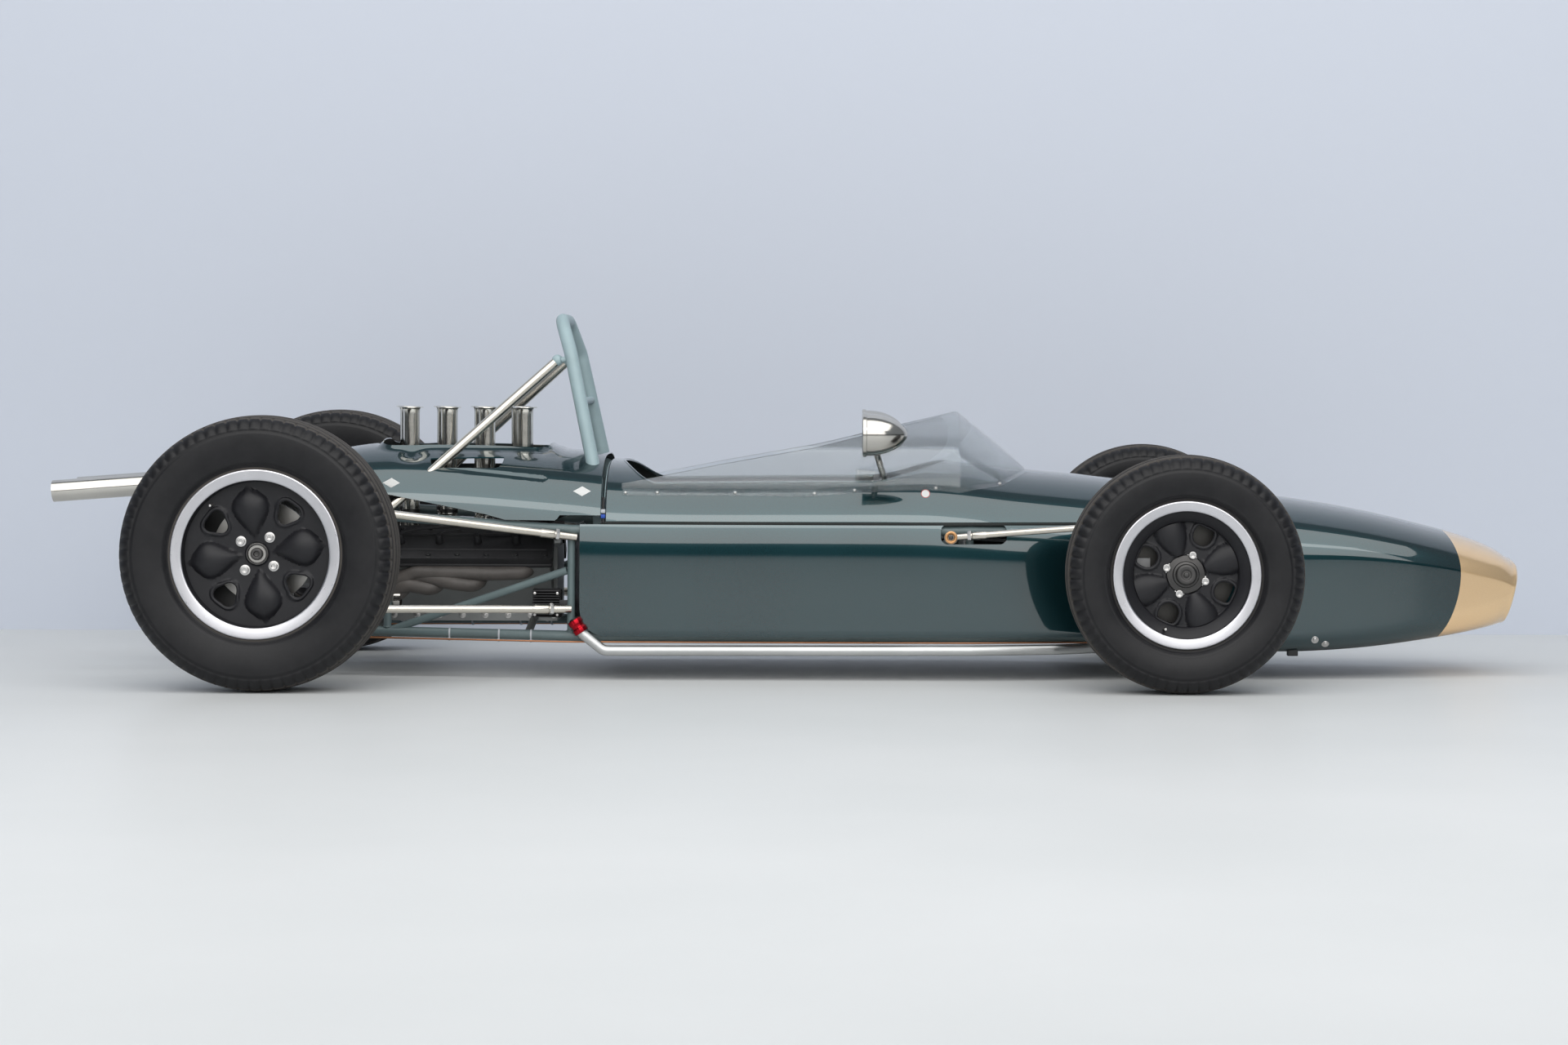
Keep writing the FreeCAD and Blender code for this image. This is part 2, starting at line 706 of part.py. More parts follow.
def engine_cover():
    """Rear cowl over the engine, open below and round the intake trumpets."""
    gap = size("panel_gap")
    shell = skin(COVER_SECTIONS).cut(hollow(COVER_SECTIONS))
    edge = [(-440, 300), (-440, 423), (-577, 423), (-582, 408), (-719, 410), (-771, 424), (-1024, 472),
            (-1260, 490), (-1260, 300)]
    trim = plate_xz([(along(x), z) for x, z in edge], -500, 500)
    mouth = block(along(-1062), along(-622), -across(150), across(150), 500, 700)
    front = along(size("cover_split_x")) - gap / 2
    cover = shell.cut(trim).cut(mouth)
    cover = cover.cut(block(front, front + 60, -500, 500, 300, 700))
    cover = cover.cut(block(along(-1260), along(-1215), -500, 500, 300, 700))
    for _, side in SIDES:
        low, high = sorted((side * across(203), side * across(400)))
        cover = cover.cut(block(along(-923), along(-732), low, high, 541, 606))
        low, high = sorted((side * across(243), side * across(400)))
        cover = cover.cut(block(along(-709), along(-588), low, high, 552, 575))
    lugs = []
    for _, side in SIDES:
        for x in (-1150, -640):
            rail = rail_spot(x, side, True)
            lugs.append(rod(rail, Vector(rail.x, rail.y, rail.z + 220), 6))
    inside = skin(COVER_SECTIONS, -1)
    lugs = [seated(lug.common(inside)) for lug in lugs]
    cover = cover.multiFuse(lugs)
    hoop = bent_tube(hoop_route(), size("hoop_rad") + 6, size("hoop_bend"))
    feature("engine_cover", largest(cover.cut(hoop)))


engine_cover()


# ---------------------------------------------------------------- windscreen and mirrors
SCREEN_ARCHES = [
    # x, half width at the foot, foot height, height of the crest
    (-425, 322, 455, 678),
    (60, 338, 455, 694),
    (455, 311, 455, 690),
    (560, 268, 455, 605),
    (645, 190, 455, 532),
]
SCREEN_EDGE = [
    # x, z of the screen's upper edge, from the peak to the rear
    (462, 693.5), (401, 677), (84, 599), (-150, 557), (-426, 503),
]


def screen_arch(x, half, foot, top, inset):
    """One arch of the windscreen, closed by a line under it."""
    crest = top * size("screen_top_z") / 690 - inset
    low_left = Vector(along(x), across(half) - inset, foot)
    low_right = Vector(along(x), -across(half) + inset, foot)
    return Part.Wire([Part.Arc(low_left, Vector(along(x), 0, crest), low_right).toShape(),
                      Part.LineSegment(low_right, low_left).toShape()])


def windscreen():
    """Wraparound screen: highest in front of the driver, sloping down along the cockpit's sides."""
    outer = Part.makeLoft([screen_arch(*arch, 0) for arch in SCREEN_ARCHES], True, True)
    inner = Part.makeLoft([screen_arch(*arch, size("screen_wall")) for arch in SCREEN_ARCHES], True, True)
    lift = size("screen_top_z") / 690
    edge = [(along(x), z * lift) for x, z in SCREEN_EDGE]
    above = [(edge[0][0], 900)] + edge + [(edge[-1][0] - 60, edge[-1][1] - 12), (edge[-1][0] - 60, 900)]
    trim = plate_xz(above, -500, 500)
    back = block(along(-480), along(-418), -500, 500, 300, 900)
    screen = outer.cut(inner).cut(trim).cut(back).cut(tub_clear)
    feature("windscreen", largest(screen))


windscreen()


def mirrors():
    """Two bullet mirrors, each on a flat strut that leans out from the cockpit's edge."""
    solids = []
    length = size("mirror_length")
    radius = size("mirror_rad")
    for _, side in SIDES:
        foot, rim_centre = mirror_foot(side)
        nose = radius * 0.5
        barrel = length - nose
        bell = Part.makeCone(radius, nose, barrel, rim_centre, Vector(1, 0, 0))
        tip = Part.makeSphere(nose, rim_centre + Vector(barrel, 0, 0))
        head = rim_centre + Vector(38, 0, -20)
        lean = head - foot
        strut = Part.makePolygon([foot + Vector(-24, 0, 0), foot + Vector(24, 0, 0), head + Vector(18, 0, 0),
                                  head + Vector(-18, 0, 0), foot + Vector(-24, 0, 0)])
        strut = Part.Face(strut).extrude(lean.cross(Vector(1, 0, 0)).normalize() * 4)
        strut = strut.cut(tub_clear).Solids
        strut = max(strut, key=lambda piece: piece.BoundBox.ZMax)
        solids.append(bell.multiFuse([tip, strut]))
    feature("mirrors", solids)


mirrors()


# ---------------------------------------------------------------- roll hoop and water pipes
def roll_hoop():
    """Hoop behind the driver's head with its cross tube and the two stay brackets."""
    hoop = bent_tube(hoop_route(), size("hoop_rad"), size("hoop_bend"))
    bar = rod(point(-534, -188, 715), point(-534, 188, 715), size("brace_rad"))
    brackets = []
    for _, side in SIDES:
        top, _ = stay_line(side)
        brackets += [rod(point(-558, side * 174, 826), top, 8), Part.makeSphere(size("bracket_rad"), top)]
    solid = hoop.multiFuse([bar] + brackets)
    for _, side in SIDES:
        solid = solid.cut(block(along(-480) - 60, along(-480) + 60, -300, 300, 0,
                                size("upper_rail_z") + size("brace_rad") + size("seat_gap")))
    feature("roll_hoop", largest(solid))


roll_hoop()


def roll_stays():
    """Two plated stays from the hoop down to the upper rails."""
    solids = []
    for _, side in SIDES:
        top, foot = stay_line(side)
        stay = rod(top, foot, size("stay_rad"))
        stay = stay.cut(Part.makeSphere(size("bracket_rad") + size("seat_gap"), top))
        solids.append(seated(stay))
    feature("roll_stays", solids)


roll_stays()


def water_pipes():
    """Cooling pipes along the floor's edges, from the engine's hose to the radiator."""
    solids = []
    edge = 352
    for _, side in SIDES:
        corners = [point(-535, side * edge, 152), point(-513, side * edge, 118), point(-460, side * edge, 76),
                   point(484, side * edge, 79), point(700, side * 318, 80), point(905, side * 205, 80),
                   point(962, side * 160, 150), point(1330, side * 160, 160)]
        solids.append(bent_tube(corners, size("water_pipe_rad"), 30))
    feature("water_pipes", solids)


water_pipes()


# ---------------------------------------------------------------- power unit
BANK_TURN = 45
BANK_HALF = 60
BANK_HEIGHT = 182
BANK_OUT = 50
CRANKCASE_TOP = 330


def in_bank(shape, side):
    """Moves a shape drawn upright about the crank into one bank of the vee."""
    moved = shape.copy()
    moved.rotate(Vector(0, 0, 0), Vector(1, 0, 0), -side * BANK_TURN)
    moved.translate(Vector(0, side * BANK_OUT, 195))
    return moved


def bank(side, grow=0):
    """One cylinder bank with its head."""
    front = along(-600)
    back = front - size("engine_length")
    return in_bank(block(back + 10 - grow, front - 10 + grow, -BANK_HALF - grow, BANK_HALF + grow,
                         0, BANK_HEIGHT + grow), side)


banks_clear = Part.makeCompound([bank(side, size("seat_gap")) for _, side in SIDES])


def engine_block():
    """Heavy mass of the V8: crankcase, two banks and four mounts to the lower rails."""
    front = along(-600)
    back = front - size("engine_length")
    half = size("engine_width") / 2
    case = block(back, front, -half * 0.7, half * 0.7, 135, CRANKCASE_TOP)
    mounts = []
    for _, side in SIDES:
        for x in (-660, -1050):
            start = point(x, side * 60, 150)
            mounts.append(seated(rod(start, rail_spot(x, side, False), 10)))
    banks = [bank(side) for _, side in SIDES]
    feature("engine_block", [case.multiFuse(banks + mounts)])


engine_block()


def cam_covers():
    """A black cam cover on the outer face of each bank."""
    gap = size("seat_gap")
    front = along(-600) - 4
    back = along(-600) - size("engine_length") + 4
    cover = block(back, front, -BANK_HALF + 2, BANK_HALF - 2, BANK_HEIGHT + gap, BANK_HEIGHT + gap + 32)
    feature("cam_covers", [in_bank(cover, side) for _, side in SIDES])


cam_covers()


def intake_trumpets():
    """Eight plated trumpets in two rows, each with its pipe down to a port in the vee."""
    solids = []
    rad = size("trumpet_rad")
    flare = size("flare_rad")
    top = size("trumpet_top_z")
    low = CRANKCASE_TOP + size("seat_gap")
    for row_side, stagger in ((-1, 0), (1, -32)):
        for number in range(4):
            x = along(-688) - number * size("trumpet_pitch") + stagger
            y = row_side * 95
            outline = [(rad - 3, low), (rad, low), (rad, top - 18), (flare, top), (flare - 3, top),
                       (rad - 3, top - 16)]
            ring = [Vector(x + radius, y, z) for radius, z in outline]
            face = Part.Face(Part.makePolygon(ring + ring[:1]))
            pipe = face.revolve(Vector(x, y, 0), Vector(0, 0, 1), 360)
            pipe = pipe.cut(banks_clear)
            solids.append(max(pipe.Solids, key=lambda piece: piece.BoundBox.ZMax))
    feature("intake_trumpets", solids)


intake_trumpets()


def gearbox():
    """Transaxle behind the engine."""
    front = along(-600) - size("engine_length") - size("seat_gap")
    back = front - size("gearbox_length")
    half = size("gearbox_width") / 2
    case = block(back, front, -half, half, 215, 425)
    tail = Part.makeCylinder(70, 90, Vector(back - 88, 0, 320), Vector(1, 0, 0))
    feature("gearbox", [case.fuse(tail)])


gearbox()


COLLECTOR_Y = 205
COLLECTOR_Z = 196


def exhausts():
    """A collector on each side rises ahead of the half shaft and runs back as the tailpipe."""
    tip_x = size("tail_tip_x")
    bore = size("tailpipe_rad") - size("pipe_wall")
    solids = []
    for _, side in SIDES:
        start = point(-1000, side * COLLECTOR_Y, COLLECTOR_Z)
        route = [start, point(-1092, side * COLLECTOR_Y, COLLECTOR_Z + 4), point(-1178, side * 150, 300),
                 point(-1204, side * 150, 430), point(-1235, side * 150, 526), Vector(tip_x, side * 150, 474)]
        solids.append(bent_tube(route, size("tailpipe_rad"), 55, size("pipe_wall")))
    feature("exhausts", solids)

    primaries = []
    for _, side in SIDES:
        start = point(-1000, side * COLLECTOR_Y, COLLECTOR_Z)
        lead = Vector(92, 0, -4).normalize()
        pieces = [rod(point(-700, side * COLLECTOR_Y, COLLECTOR_Z), start, size("header_rad") + 4),
                  rod(start + lead * 10, start - lead * 30, bore - size("seat_gap"))]
        for number in range(4):
            x = -665 - number * 92
            spots = [point(x, side * 175, 236), point(x - 4, side * 209, 222),
                     point(x - 36, side * COLLECTOR_Y, COLLECTOR_Z + 2)]
            pieces.append(chain(spots, size("header_rad")))
        header = pieces[0].multiFuse(pieces[1:])
        for bank_solid in banks_clear.Solids:
            header = header.cut(bank_solid)
        primaries += largest(header)
    feature("exhaust_headers", primaries)


exhausts()


def ignition_box():
    """Finned black box beside the bulkhead, bolted to the frame's upright."""
    solids = []
    side = -1
    body = block(along(-648), along(-574), across(-322), across(-262), 157, 230)
    for number in range(6):
        z = 163 + number * 11
        body = body.cut(block(along(-660), along(-560), across(-330), across(-306), z, z + 5))
    arm = rod(frame_side_spot(-546, 204, side), Vector(along(-600), across(-300), 204), 7)
    solids = [body.fuse(seated(arm))]
    feature("ignition_box", solids)


ignition_box()


# ---------------------------------------------------------------- suspension
def front_suspension():
    """Lower wishbones, upper links with radius rods, and the coil dampers."""
    lower, upper, dampers = [], [], []
    rad = size("rod_rad")
    ball = size("ball_rad")
    reach = size("kingpin_reach")
    gap = size("seat_gap")
    for _, side in SIDES:
        foot = Vector(FRONT_X, side * size("kingpin_y"), FRONT_Z - reach)
        inner = [rail_spot(FRONT_X + x, side, False) for x in (120, -150)]
        legs = [rod(foot, end, rad - 2) for end in inner]
        share = 0.35
        tie = rod(foot + (inner[0] - foot) * share, foot + (inner[1] - foot) * share, rad - 3)
        wishbone = legs[0].multiFuse([legs[1], tie, Part.makeSphere(ball, foot)])
        lower.append(seated(wishbone))
        head = Vector(FRONT_X, side * size("kingpin_y"), FRONT_Z + reach)
        link = rod(head, rail_spot(FRONT_X, side, True), rad - 2)
        bush_at = point(431, side * 350, 370)
        lean = head + (rail_spot(FRONT_X, side, True) - head) * 0.18
        brace = rod(bush_at, lean, rad - 2)
        bush = Part.makeCylinder(17, 30, bush_at - Vector(0, side * 18, 0), Vector(0, side, 0))
        upper.append(seated(link.multiFuse([brace, bush, Part.makeSphere(ball, head)])))
        low_end = foot + (inner[0] - foot) * share
        top_end = rail_spot(FRONT_X + 62, side, True)
        run = top_end - low_end
        damper = rod(low_end, top_end, 8).fuse(rod(low_end + run * 0.13, low_end + run * 0.60, 26))
        damper = damper.cut(rod(foot, inner[0], rad - 2 + gap)).cut(rod(
            foot + (inner[0] - foot) * share, foot + (inner[1] - foot) * share, rad - 3 + gap))
        dampers.append(seated(largest(damper)[0]))
    feature("front_links", lower + upper)
    return dampers


front_dampers = front_suspension()


def front_upright(name, side):
    """Carrier between the ball joints, with its steering arm and brake caliper."""
    king = size("kingpin_y")
    reach = size("kingpin_reach") - size("ball_rad") - 0.6
    disc_at = FRONT_Y - size("front_disc_offset") + 10
    stub = size("bearing_rad") - 9 + size("running_gap")
    column = rod(Vector(FRONT_X, king, FRONT_Z - reach), Vector(FRONT_X, king, FRONT_Z + reach), 13)
    carrier = Part.makeCylinder(34, disc_at - king - 4, Vector(FRONT_X, king, FRONT_Z), Vector(0, 1, 0))
    bore = Part.makeCylinder(stub, 120, Vector(FRONT_X, king - 10, FRONT_Z), Vector(0, 1, 0))
    arm_end = FRONT_X + size("steer_arm") + 12
    arm = plate_xz([(FRONT_X, FRONT_Z - 16), (arm_end, FRONT_Z + 6), (arm_end, FRONT_Z + 18),
                    (FRONT_X, FRONT_Z + 30)], king - 8, king + 8)
    thick = size("disc_thick")
    caliper = block(FRONT_X - size("disc_rad") - 10, FRONT_X - 85, disc_at - 28, disc_at + thick + 16,
                    FRONT_Z - 38, FRONT_Z + 38)
    slot = Part.makeCylinder(size("disc_rad") + 5, thick + 10, Vector(FRONT_X, disc_at - 5, FRONT_Z),
                             Vector(0, 1, 0))
    lug = block(FRONT_X - 100, FRONT_X, king - 6, disc_at - 8, FRONT_Z - 14, FRONT_Z + 14)
    solid = column.multiFuse([carrier, arm, lug, caliper.cut(slot)]).cut(bore)
    solid = largest(solid)[0]
    feature(f"front_upright_{name}", [solid if side > 0 else mirror(solid)])


for side_name, side_sign in SIDES:
    front_upright(side_name, side_sign)

RACK_Z = 290
RACK_X = FRONT_X + size("steer_arm")


def steering():
    """Rack housing on the front cross tube, and the rack bar with its two track rods."""
    bore_rad = size("rack_rad") + size("running_gap")
    housing = rod(Vector(RACK_X, -across(185), RACK_Z), Vector(RACK_X, across(185), RACK_Z), 22)
    bore = rod(Vector(RACK_X, -400, RACK_Z), Vector(RACK_X, 400, RACK_Z), bore_rad)
    ears = [block(RACK_X, along(1180), side * across(150) - 9, side * across(150) + 9, RACK_Z - 9, RACK_Z + 9)
            for _, side in SIDES]
    feature("steering_rack_housing", [seated(housing.multiFuse(ears).cut(bore))])
    reach = size("kingpin_y") - 10
    inner_y = across(185) + size("rack_travel") + 20
    bar = rod(Vector(RACK_X, -inner_y, RACK_Z), Vector(RACK_X, inner_y, RACK_Z), size("rack_rad"))
    tips = []
    for _, side in SIDES:
        inner = Vector(RACK_X, side * inner_y, RACK_Z)
        outer = Vector(RACK_X, side * reach, FRONT_Z + 6 - size("rod_end_drop"))
        tips += [rod(inner, outer, 8), Part.makeSphere(12, outer), Part.makeSphere(15, inner)]
    feature("track_rods", [bar.multiFuse(tips)])


steering()


def rear_suspension():
    """Uprights, radius rods, lateral links and coil dampers."""
    uprights, radius_rods, links, dampers = [], [], [], []
    disc_at = REAR_Y - size("rear_disc_offset") + 10
    thick = size("disc_thick")
    inner_face = REAR_Y - size("rear_tyre_width") / 2
    stub = size("bearing_rad") - 9 + size("running_gap")
    for _, side in SIDES:
        outline = [(-36, -160), (56, -160), (76, -41), (84, 141), (-26, 152), (-44, 0), (-84, -101), (-84, -148),
                   (-44, -160)]
        column = plate_xz([(REAR_X + x, REAR_Z + z) for x, z in outline], inner_face, inner_face + 28)
        carrier = Part.makeCylinder(44, disc_at - inner_face - 4, Vector(REAR_X, inner_face, REAR_Z),
                                    Vector(0, 1, 0))
        bore = Part.makeCylinder(stub, 200, Vector(REAR_X, disc_at - 65, REAR_Z), Vector(0, 1, 0))
        room = Part.makeCylinder(39, 200, Vector(REAR_X, disc_at - 60, REAR_Z), Vector(0, -1, 0))
        caliper = block(REAR_X + 85, REAR_X + size("disc_rad") + 10, disc_at - 30, disc_at + thick + 16,
                        REAR_Z - 40, REAR_Z + 40)
        slot = Part.makeCylinder(size("disc_rad") + 5, thick + 10, Vector(REAR_X, disc_at - 5, REAR_Z),
                                 Vector(0, 1, 0))
        lug = block(REAR_X + 40, REAR_X + 100, inner_face + 2, disc_at - 8, REAR_Z - 16, REAR_Z + 16)
        solid = largest(column.multiFuse([carrier, lug, caliper.cut(slot)]).cut(bore).cut(room))[0]
        uprights.append(solid if side > 0 else mirror(solid))

        def linked(outer, inner, radius):
            """A bar from the upright's inner face to the frame."""
            bar = rod(Vector(outer[0], side * (inner_face + 20), outer[1]), inner, radius)
            low, high = sorted((side * (inner_face - size("seat_gap")), side * (inner_face + 60)))
            return seated(largest(bar.cut(block(REAR_X - 300, REAR_X + 300, low, high, 0, 900)))[0])

        rad = size("rod_rad")
        radius_rods.append(linked((REAR_X + 62, 464), rail_spot(-533, side, True) + Vector(0, side * 14, -18), rad))
        radius_rods.append(linked((REAR_X + 38, 196), point(-546, side * 343, 182), rad))
        links.append(linked((REAR_X - 10, 196), rail_spot(-1375, side, False), rad))
        links.append(linked((REAR_X + 4, 476), rail_spot(-1325, side, True), rad))
        head = rail_spot(-1375, side, True)
        dampers.append(linked((REAR_X - 64, 222), head, 9))
        start = Vector(REAR_X - 64, side * (inner_face + 20), 222)
        run = head - start
        coil = rod(start + run * 0.14, start + run * 0.62, 30)
        dampers[-1] = dampers[-1].fuse(coil)
    feature("rear_uprights", uprights)
    feature("rear_links", radius_rods + links)
    return dampers


feature("coil_dampers", front_dampers + rear_suspension())


# ---------------------------------------------------------------- cockpit
FLOOR_TOP = size("lower_rail_z") - size("rail_rad") - size("seat_gap")
SEAT_LINE = [
    # x, height above the floor, of the seat's upper surface
    (-455, 385), (-330, 75), (-260, 12), (-60, 12), (60, 52),
]


def seat():
    """Thin moulded bucket seat: base, back and two sides."""
    half = across(size("seat_half_width"))
    wall = size("seat_wall")
    low = FLOOR_TOP + size("seat_gap")
    inner = [(along(x), low + z) for x, z in SEAT_LINE]
    outer = [(x - wall * 0.9, z - wall) for x, z in reversed(inner)]
    shift = low - min(z for _, z in outer)
    inner = [(x, z + shift) for x, z in inner]
    outer = [(x, z + shift) for x, z in outer]
    pan = plate_xz(inner + outer, -half, half)
    side_line = inner + [(along(60), low + 150), (along(-200), low + 190), (along(-300), low + 310),
                         (along(-415), low + 385)]
    cheeks = []
    for _, side in SIDES:
        near, far = sorted((side * half, side * (half - wall)))
        cheeks.append(plate_xz(side_line, near, far))
    feature("seat", [pan.multiFuse(cheeks)])
    return inner, half - wall


def seat_pads(line, half):
    """Two upholstered pads lying in the seat: base and back."""
    gap = size("seat_gap")
    thick = size("pad_thick")
    reach = half - 8
    solids = []
    for start, end in ((line[3], line[2]), (line[1], line[0])):
        run = Vector(end[0] - start[0], 0, end[1] - start[1])
        ahead = run.normalize()
        up = Vector(ahead.z, 0, -ahead.x)
        if up.z < 0:
            up = up * -1
        near = Vector(start[0], 0, start[1]) + up * gap + ahead * 6
        far = Vector(end[0], 0, end[1]) + up * gap - ahead * 14
        ring = [near, far, far + up * thick, near + up * thick]
        solids.append(plate_xz([(spot.x, spot.z) for spot in ring], -reach, reach))
    feature("seat_pads", solids)


seat_pads(*seat())


def fuel_tanks():
    """Sheet tanks on the floor, one on each side of the seat."""
    low = FLOOR_TOP + size("seat_gap")
    inner = across(size("seat_half_width")) + 6
    outer = across(size("frame_half_width")) - size("rail_rad") - 7
    solids = []
    for _, side in SIDES:
        near, far = sorted((side * inner, side * outer))
        tank = block(along(-440), along(330), near, far, low, size("upper_rail_z") - 14)
        edges = [edge for edge in tank.Edges if abs(edge.tangentAt(edge.FirstParameter).x) > 0.9]
        solids.append(tank.makeFillet(12, edges))
    feature("fuel_tanks", solids)


fuel_tanks()


def column_axis():
    """Foot and head of the steering column, and its direction towards the driver."""
    head = point(235, 0, 372)
    foot = Vector(RACK_X - 30, 0, 324)
    return foot, head, (head - foot).normalize()


def column_spot(x):
    """The point of the column's axis at a station."""
    foot, head, _ = column_axis()
    return foot + (head - foot) * ((x - foot.x) / (head.x - foot.x))


def dashboard():
    """Instrument panel across the cockpit, on the front face of the dash cross tube."""
    back = along(480) - size("brace_rad") - size("seat_gap")
    panel = block(back - 4, back, -across(300), across(300), 330, 600)
    panel = panel.common(hollow(TUB_SECTIONS, 2))
    panel = panel.cut(rod(column_spot(back - 60), column_spot(back + 60), size("column_rad") + 8))
    panel = panel.cut(rod(point(431, 300, 370), point(431, 420, 370), 20))
    feature("dashboard", [seated(largest(panel)[0])])


dashboard()


def steering_column():
    """Bearing collar under the dash cross tube."""
    centre = column_spot(along(480))
    outer = size("upper_rail_z") - size("brace_rad") - size("seat_gap") - centre.z - 0.3
    start, end = column_spot(along(480) + 14), column_spot(along(480) - 9)
    collar = rod(start, end, outer, size("column_rad") + size("running_gap"))
    feature("column_bearing", [collar])


steering_column()


def steering_wheel():
    """Rim, three spokes and the shaft that turns with them."""
    foot, head, direction = column_axis()
    radius = size("steering_wheel_rad")
    rim_ring = Part.makeTorus(radius, size("steering_grip_rad"), head, direction)
    shaft = rod(foot, head + direction * 4, size("column_rad"))
    boss = rod(head - direction * 18, head + direction * 6, 30)
    across_axis = Vector(0, 1, 0)
    up_axis = across_axis.cross(direction).normalize()
    if up_axis.z < 0:
        up_axis = up_axis * -1
    spokes = []
    for angle in (8, 172, 270):
        turn = math.radians(angle)
        ray = across_axis * math.cos(turn) + up_axis * math.sin(turn)
        spokes.append(rod(head + ray * 12, head + ray * radius, 5))
    solid = shaft.fuse(boss)
    for spoke in spokes:
        solid = solid.fuse(spoke)
    feature("steering_wheel", [solid.fuse(rim_ring)])


steering_wheel()


def pedals():
    """Three pedals on a shaft that lies on the front cross tube."""
    z = size("lower_rail_z") + size("brace_rad") + 8 + size("seat_gap")
    shaft = rod(Vector(880, -150, z), Vector(880, 150, z), 8)
    pieces = []
    for y in (-110, 0, 105):
        pieces.append(plate_xz([(874, z), (886, z), (874, z + 150), (866, z + 150)], y - 5, y + 5))
        pieces.append(plate_xz([(862, z + 115), (871, z + 115), (868, z + 170), (860, z + 170)], y - 28, y + 28))
    feature("pedals", [shaft.multiFuse(pieces)])


pedals()


def gear_lever():
    """Short lever on the right of the cockpit, its gate fixed to the upper rail."""
    z = size("upper_rail_z")
    reach = across(size("frame_half_width"))
    gate = block(along(120), along(210), -reach, -across(245), z - 3, z + 3)
    gate = seated(gate)
    lever = rod(Vector(along(165), -across(258), z), Vector(along(150), -across(252), z + 62), 6)
    knob = Part.makeSphere(16, Vector(along(150), -across(252), z + 68))
    feature("gear_lever", [gate.multiFuse([lever, knob])])


gear_lever()


def radiator():
    """Radiator on the nose rails, behind the mouth."""
    low = size("lower_rail_z") + size("rail_rad") + size("seat_gap")
    core = block(1350, 1392, -190, 190, low, 352)
    feature("radiator", [core])


radiator()

# ---------------------------------------------------------------- check and write
document.recompute()
for thing in document.Objects:
    if "Invalid" in thing.State or "Error" in thing.State:
        raise RuntimeError(f"{thing.Label} failed: {thing.State}")
for thing in nodes:
    if thing.Shape.isNull() or not thing.Shape.isValid() or not thing.Shape.Solids:
        raise RuntimeError(f"{thing.Label} has no valid solid")
os.makedirs("parts", exist_ok=True)
for thing in nodes:
    thing.Shape.exportStep(f"parts/{thing.Label}.step")
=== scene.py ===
import math

import bmesh
import bpy
import numpy as np
from mathutils import Matrix, Vector


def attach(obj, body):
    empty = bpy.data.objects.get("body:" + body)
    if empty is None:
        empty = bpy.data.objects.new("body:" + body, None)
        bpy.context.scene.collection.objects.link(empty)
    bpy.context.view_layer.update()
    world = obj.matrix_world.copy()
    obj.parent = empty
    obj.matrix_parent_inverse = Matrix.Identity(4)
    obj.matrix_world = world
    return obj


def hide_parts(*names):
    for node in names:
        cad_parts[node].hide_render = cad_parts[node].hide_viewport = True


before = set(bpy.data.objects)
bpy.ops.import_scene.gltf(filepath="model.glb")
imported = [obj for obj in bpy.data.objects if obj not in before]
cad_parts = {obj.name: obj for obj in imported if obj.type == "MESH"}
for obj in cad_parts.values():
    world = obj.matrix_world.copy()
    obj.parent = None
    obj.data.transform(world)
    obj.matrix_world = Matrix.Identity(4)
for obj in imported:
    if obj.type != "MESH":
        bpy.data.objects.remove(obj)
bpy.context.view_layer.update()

PI = math.pi
RIGHT, LEFT = -1, 1
SIDES = (("left", LEFT), ("right", RIGHT))

# ---------------------------------------------------------------- studio
# A pale sealed floor and a plain pale wall, lit softly from above and from the camera's side.
# The camera stands level with the cockpit's edge, square to the car's right-hand side.
CAMERA_PLACE = (0.190, -9.457, 0.790)
CAMERA_LENS = 81.4
CAMERA_ROLL = 0.0035
FLOOR_REACH, WALL_Y, WALL_TOP = 14, 1.36, 7


class Nodes:
    """Adds, sets and joins the nodes of one tree.

    A setting is an output to join, a socket's value or an attribute; unnamed ones go to the first sockets.
    """

    def __init__(self, tree):
        self.tree = tree

    def fit(self, node, *numbered, **named):
        for key, value in [*named.items(), *enumerate(numbered)]:
            socket = key if isinstance(key, int) else key.replace("_", " ")
            if isinstance(value, bpy.types.NodeSocket):
                self.tree.links.new(value, node.inputs[socket])
            elif isinstance(key, int) or socket in node.inputs:
                node.inputs[socket].default_value = value
            else:
                setattr(node, key, value)
        return node.outputs

    def add(self, kind, *numbered, **named):
        return self.fit(self.tree.nodes.new(f"ShaderNode{kind}"), *numbered, **named)

    def noise(self, scale, detail, **more):
        return self.add("TexNoise", self.add("TexCoord")["Object"], Scale=scale, Detail=detail, **more)["Fac"]

    def ramp(self, share, *stops):
        """Each of the two stops is (place, red, green, blue)."""
        node = self.tree.nodes.new("ShaderNodeValToRGB")
        for element, (place, *colour) in zip(node.color_ramp.elements, stops):
            element.position = place
            element.color = (*colour, 1)
        return self.fit(node, share)["Color"]

    def bump(self, height, strength, distance):
        return self.add("Bump", Height=height, Strength=strength, Distance=distance)["Normal"]

    def between(self, share, low, high):
        return self.add("MapRange", share, To_Min=low, To_Max=high)["Result"]

    def mixed(self, share, low, high):
        return self.add("Mix", data_type="RGBA", Factor=share, A=low, B=high)["Result"]


def node_material(name):
    """A new node material, its shader and its nodes."""
    material = bpy.data.materials.new(name)
    material.use_nodes = True
    return material, material.node_tree.nodes["Principled BSDF"], Nodes(material.node_tree)


def linked(name, data):
    """A new object that holds the data, in the scene."""
    thing = bpy.data.objects.new(name, data)
    bpy.context.scene.collection.objects.link(thing)
    return thing


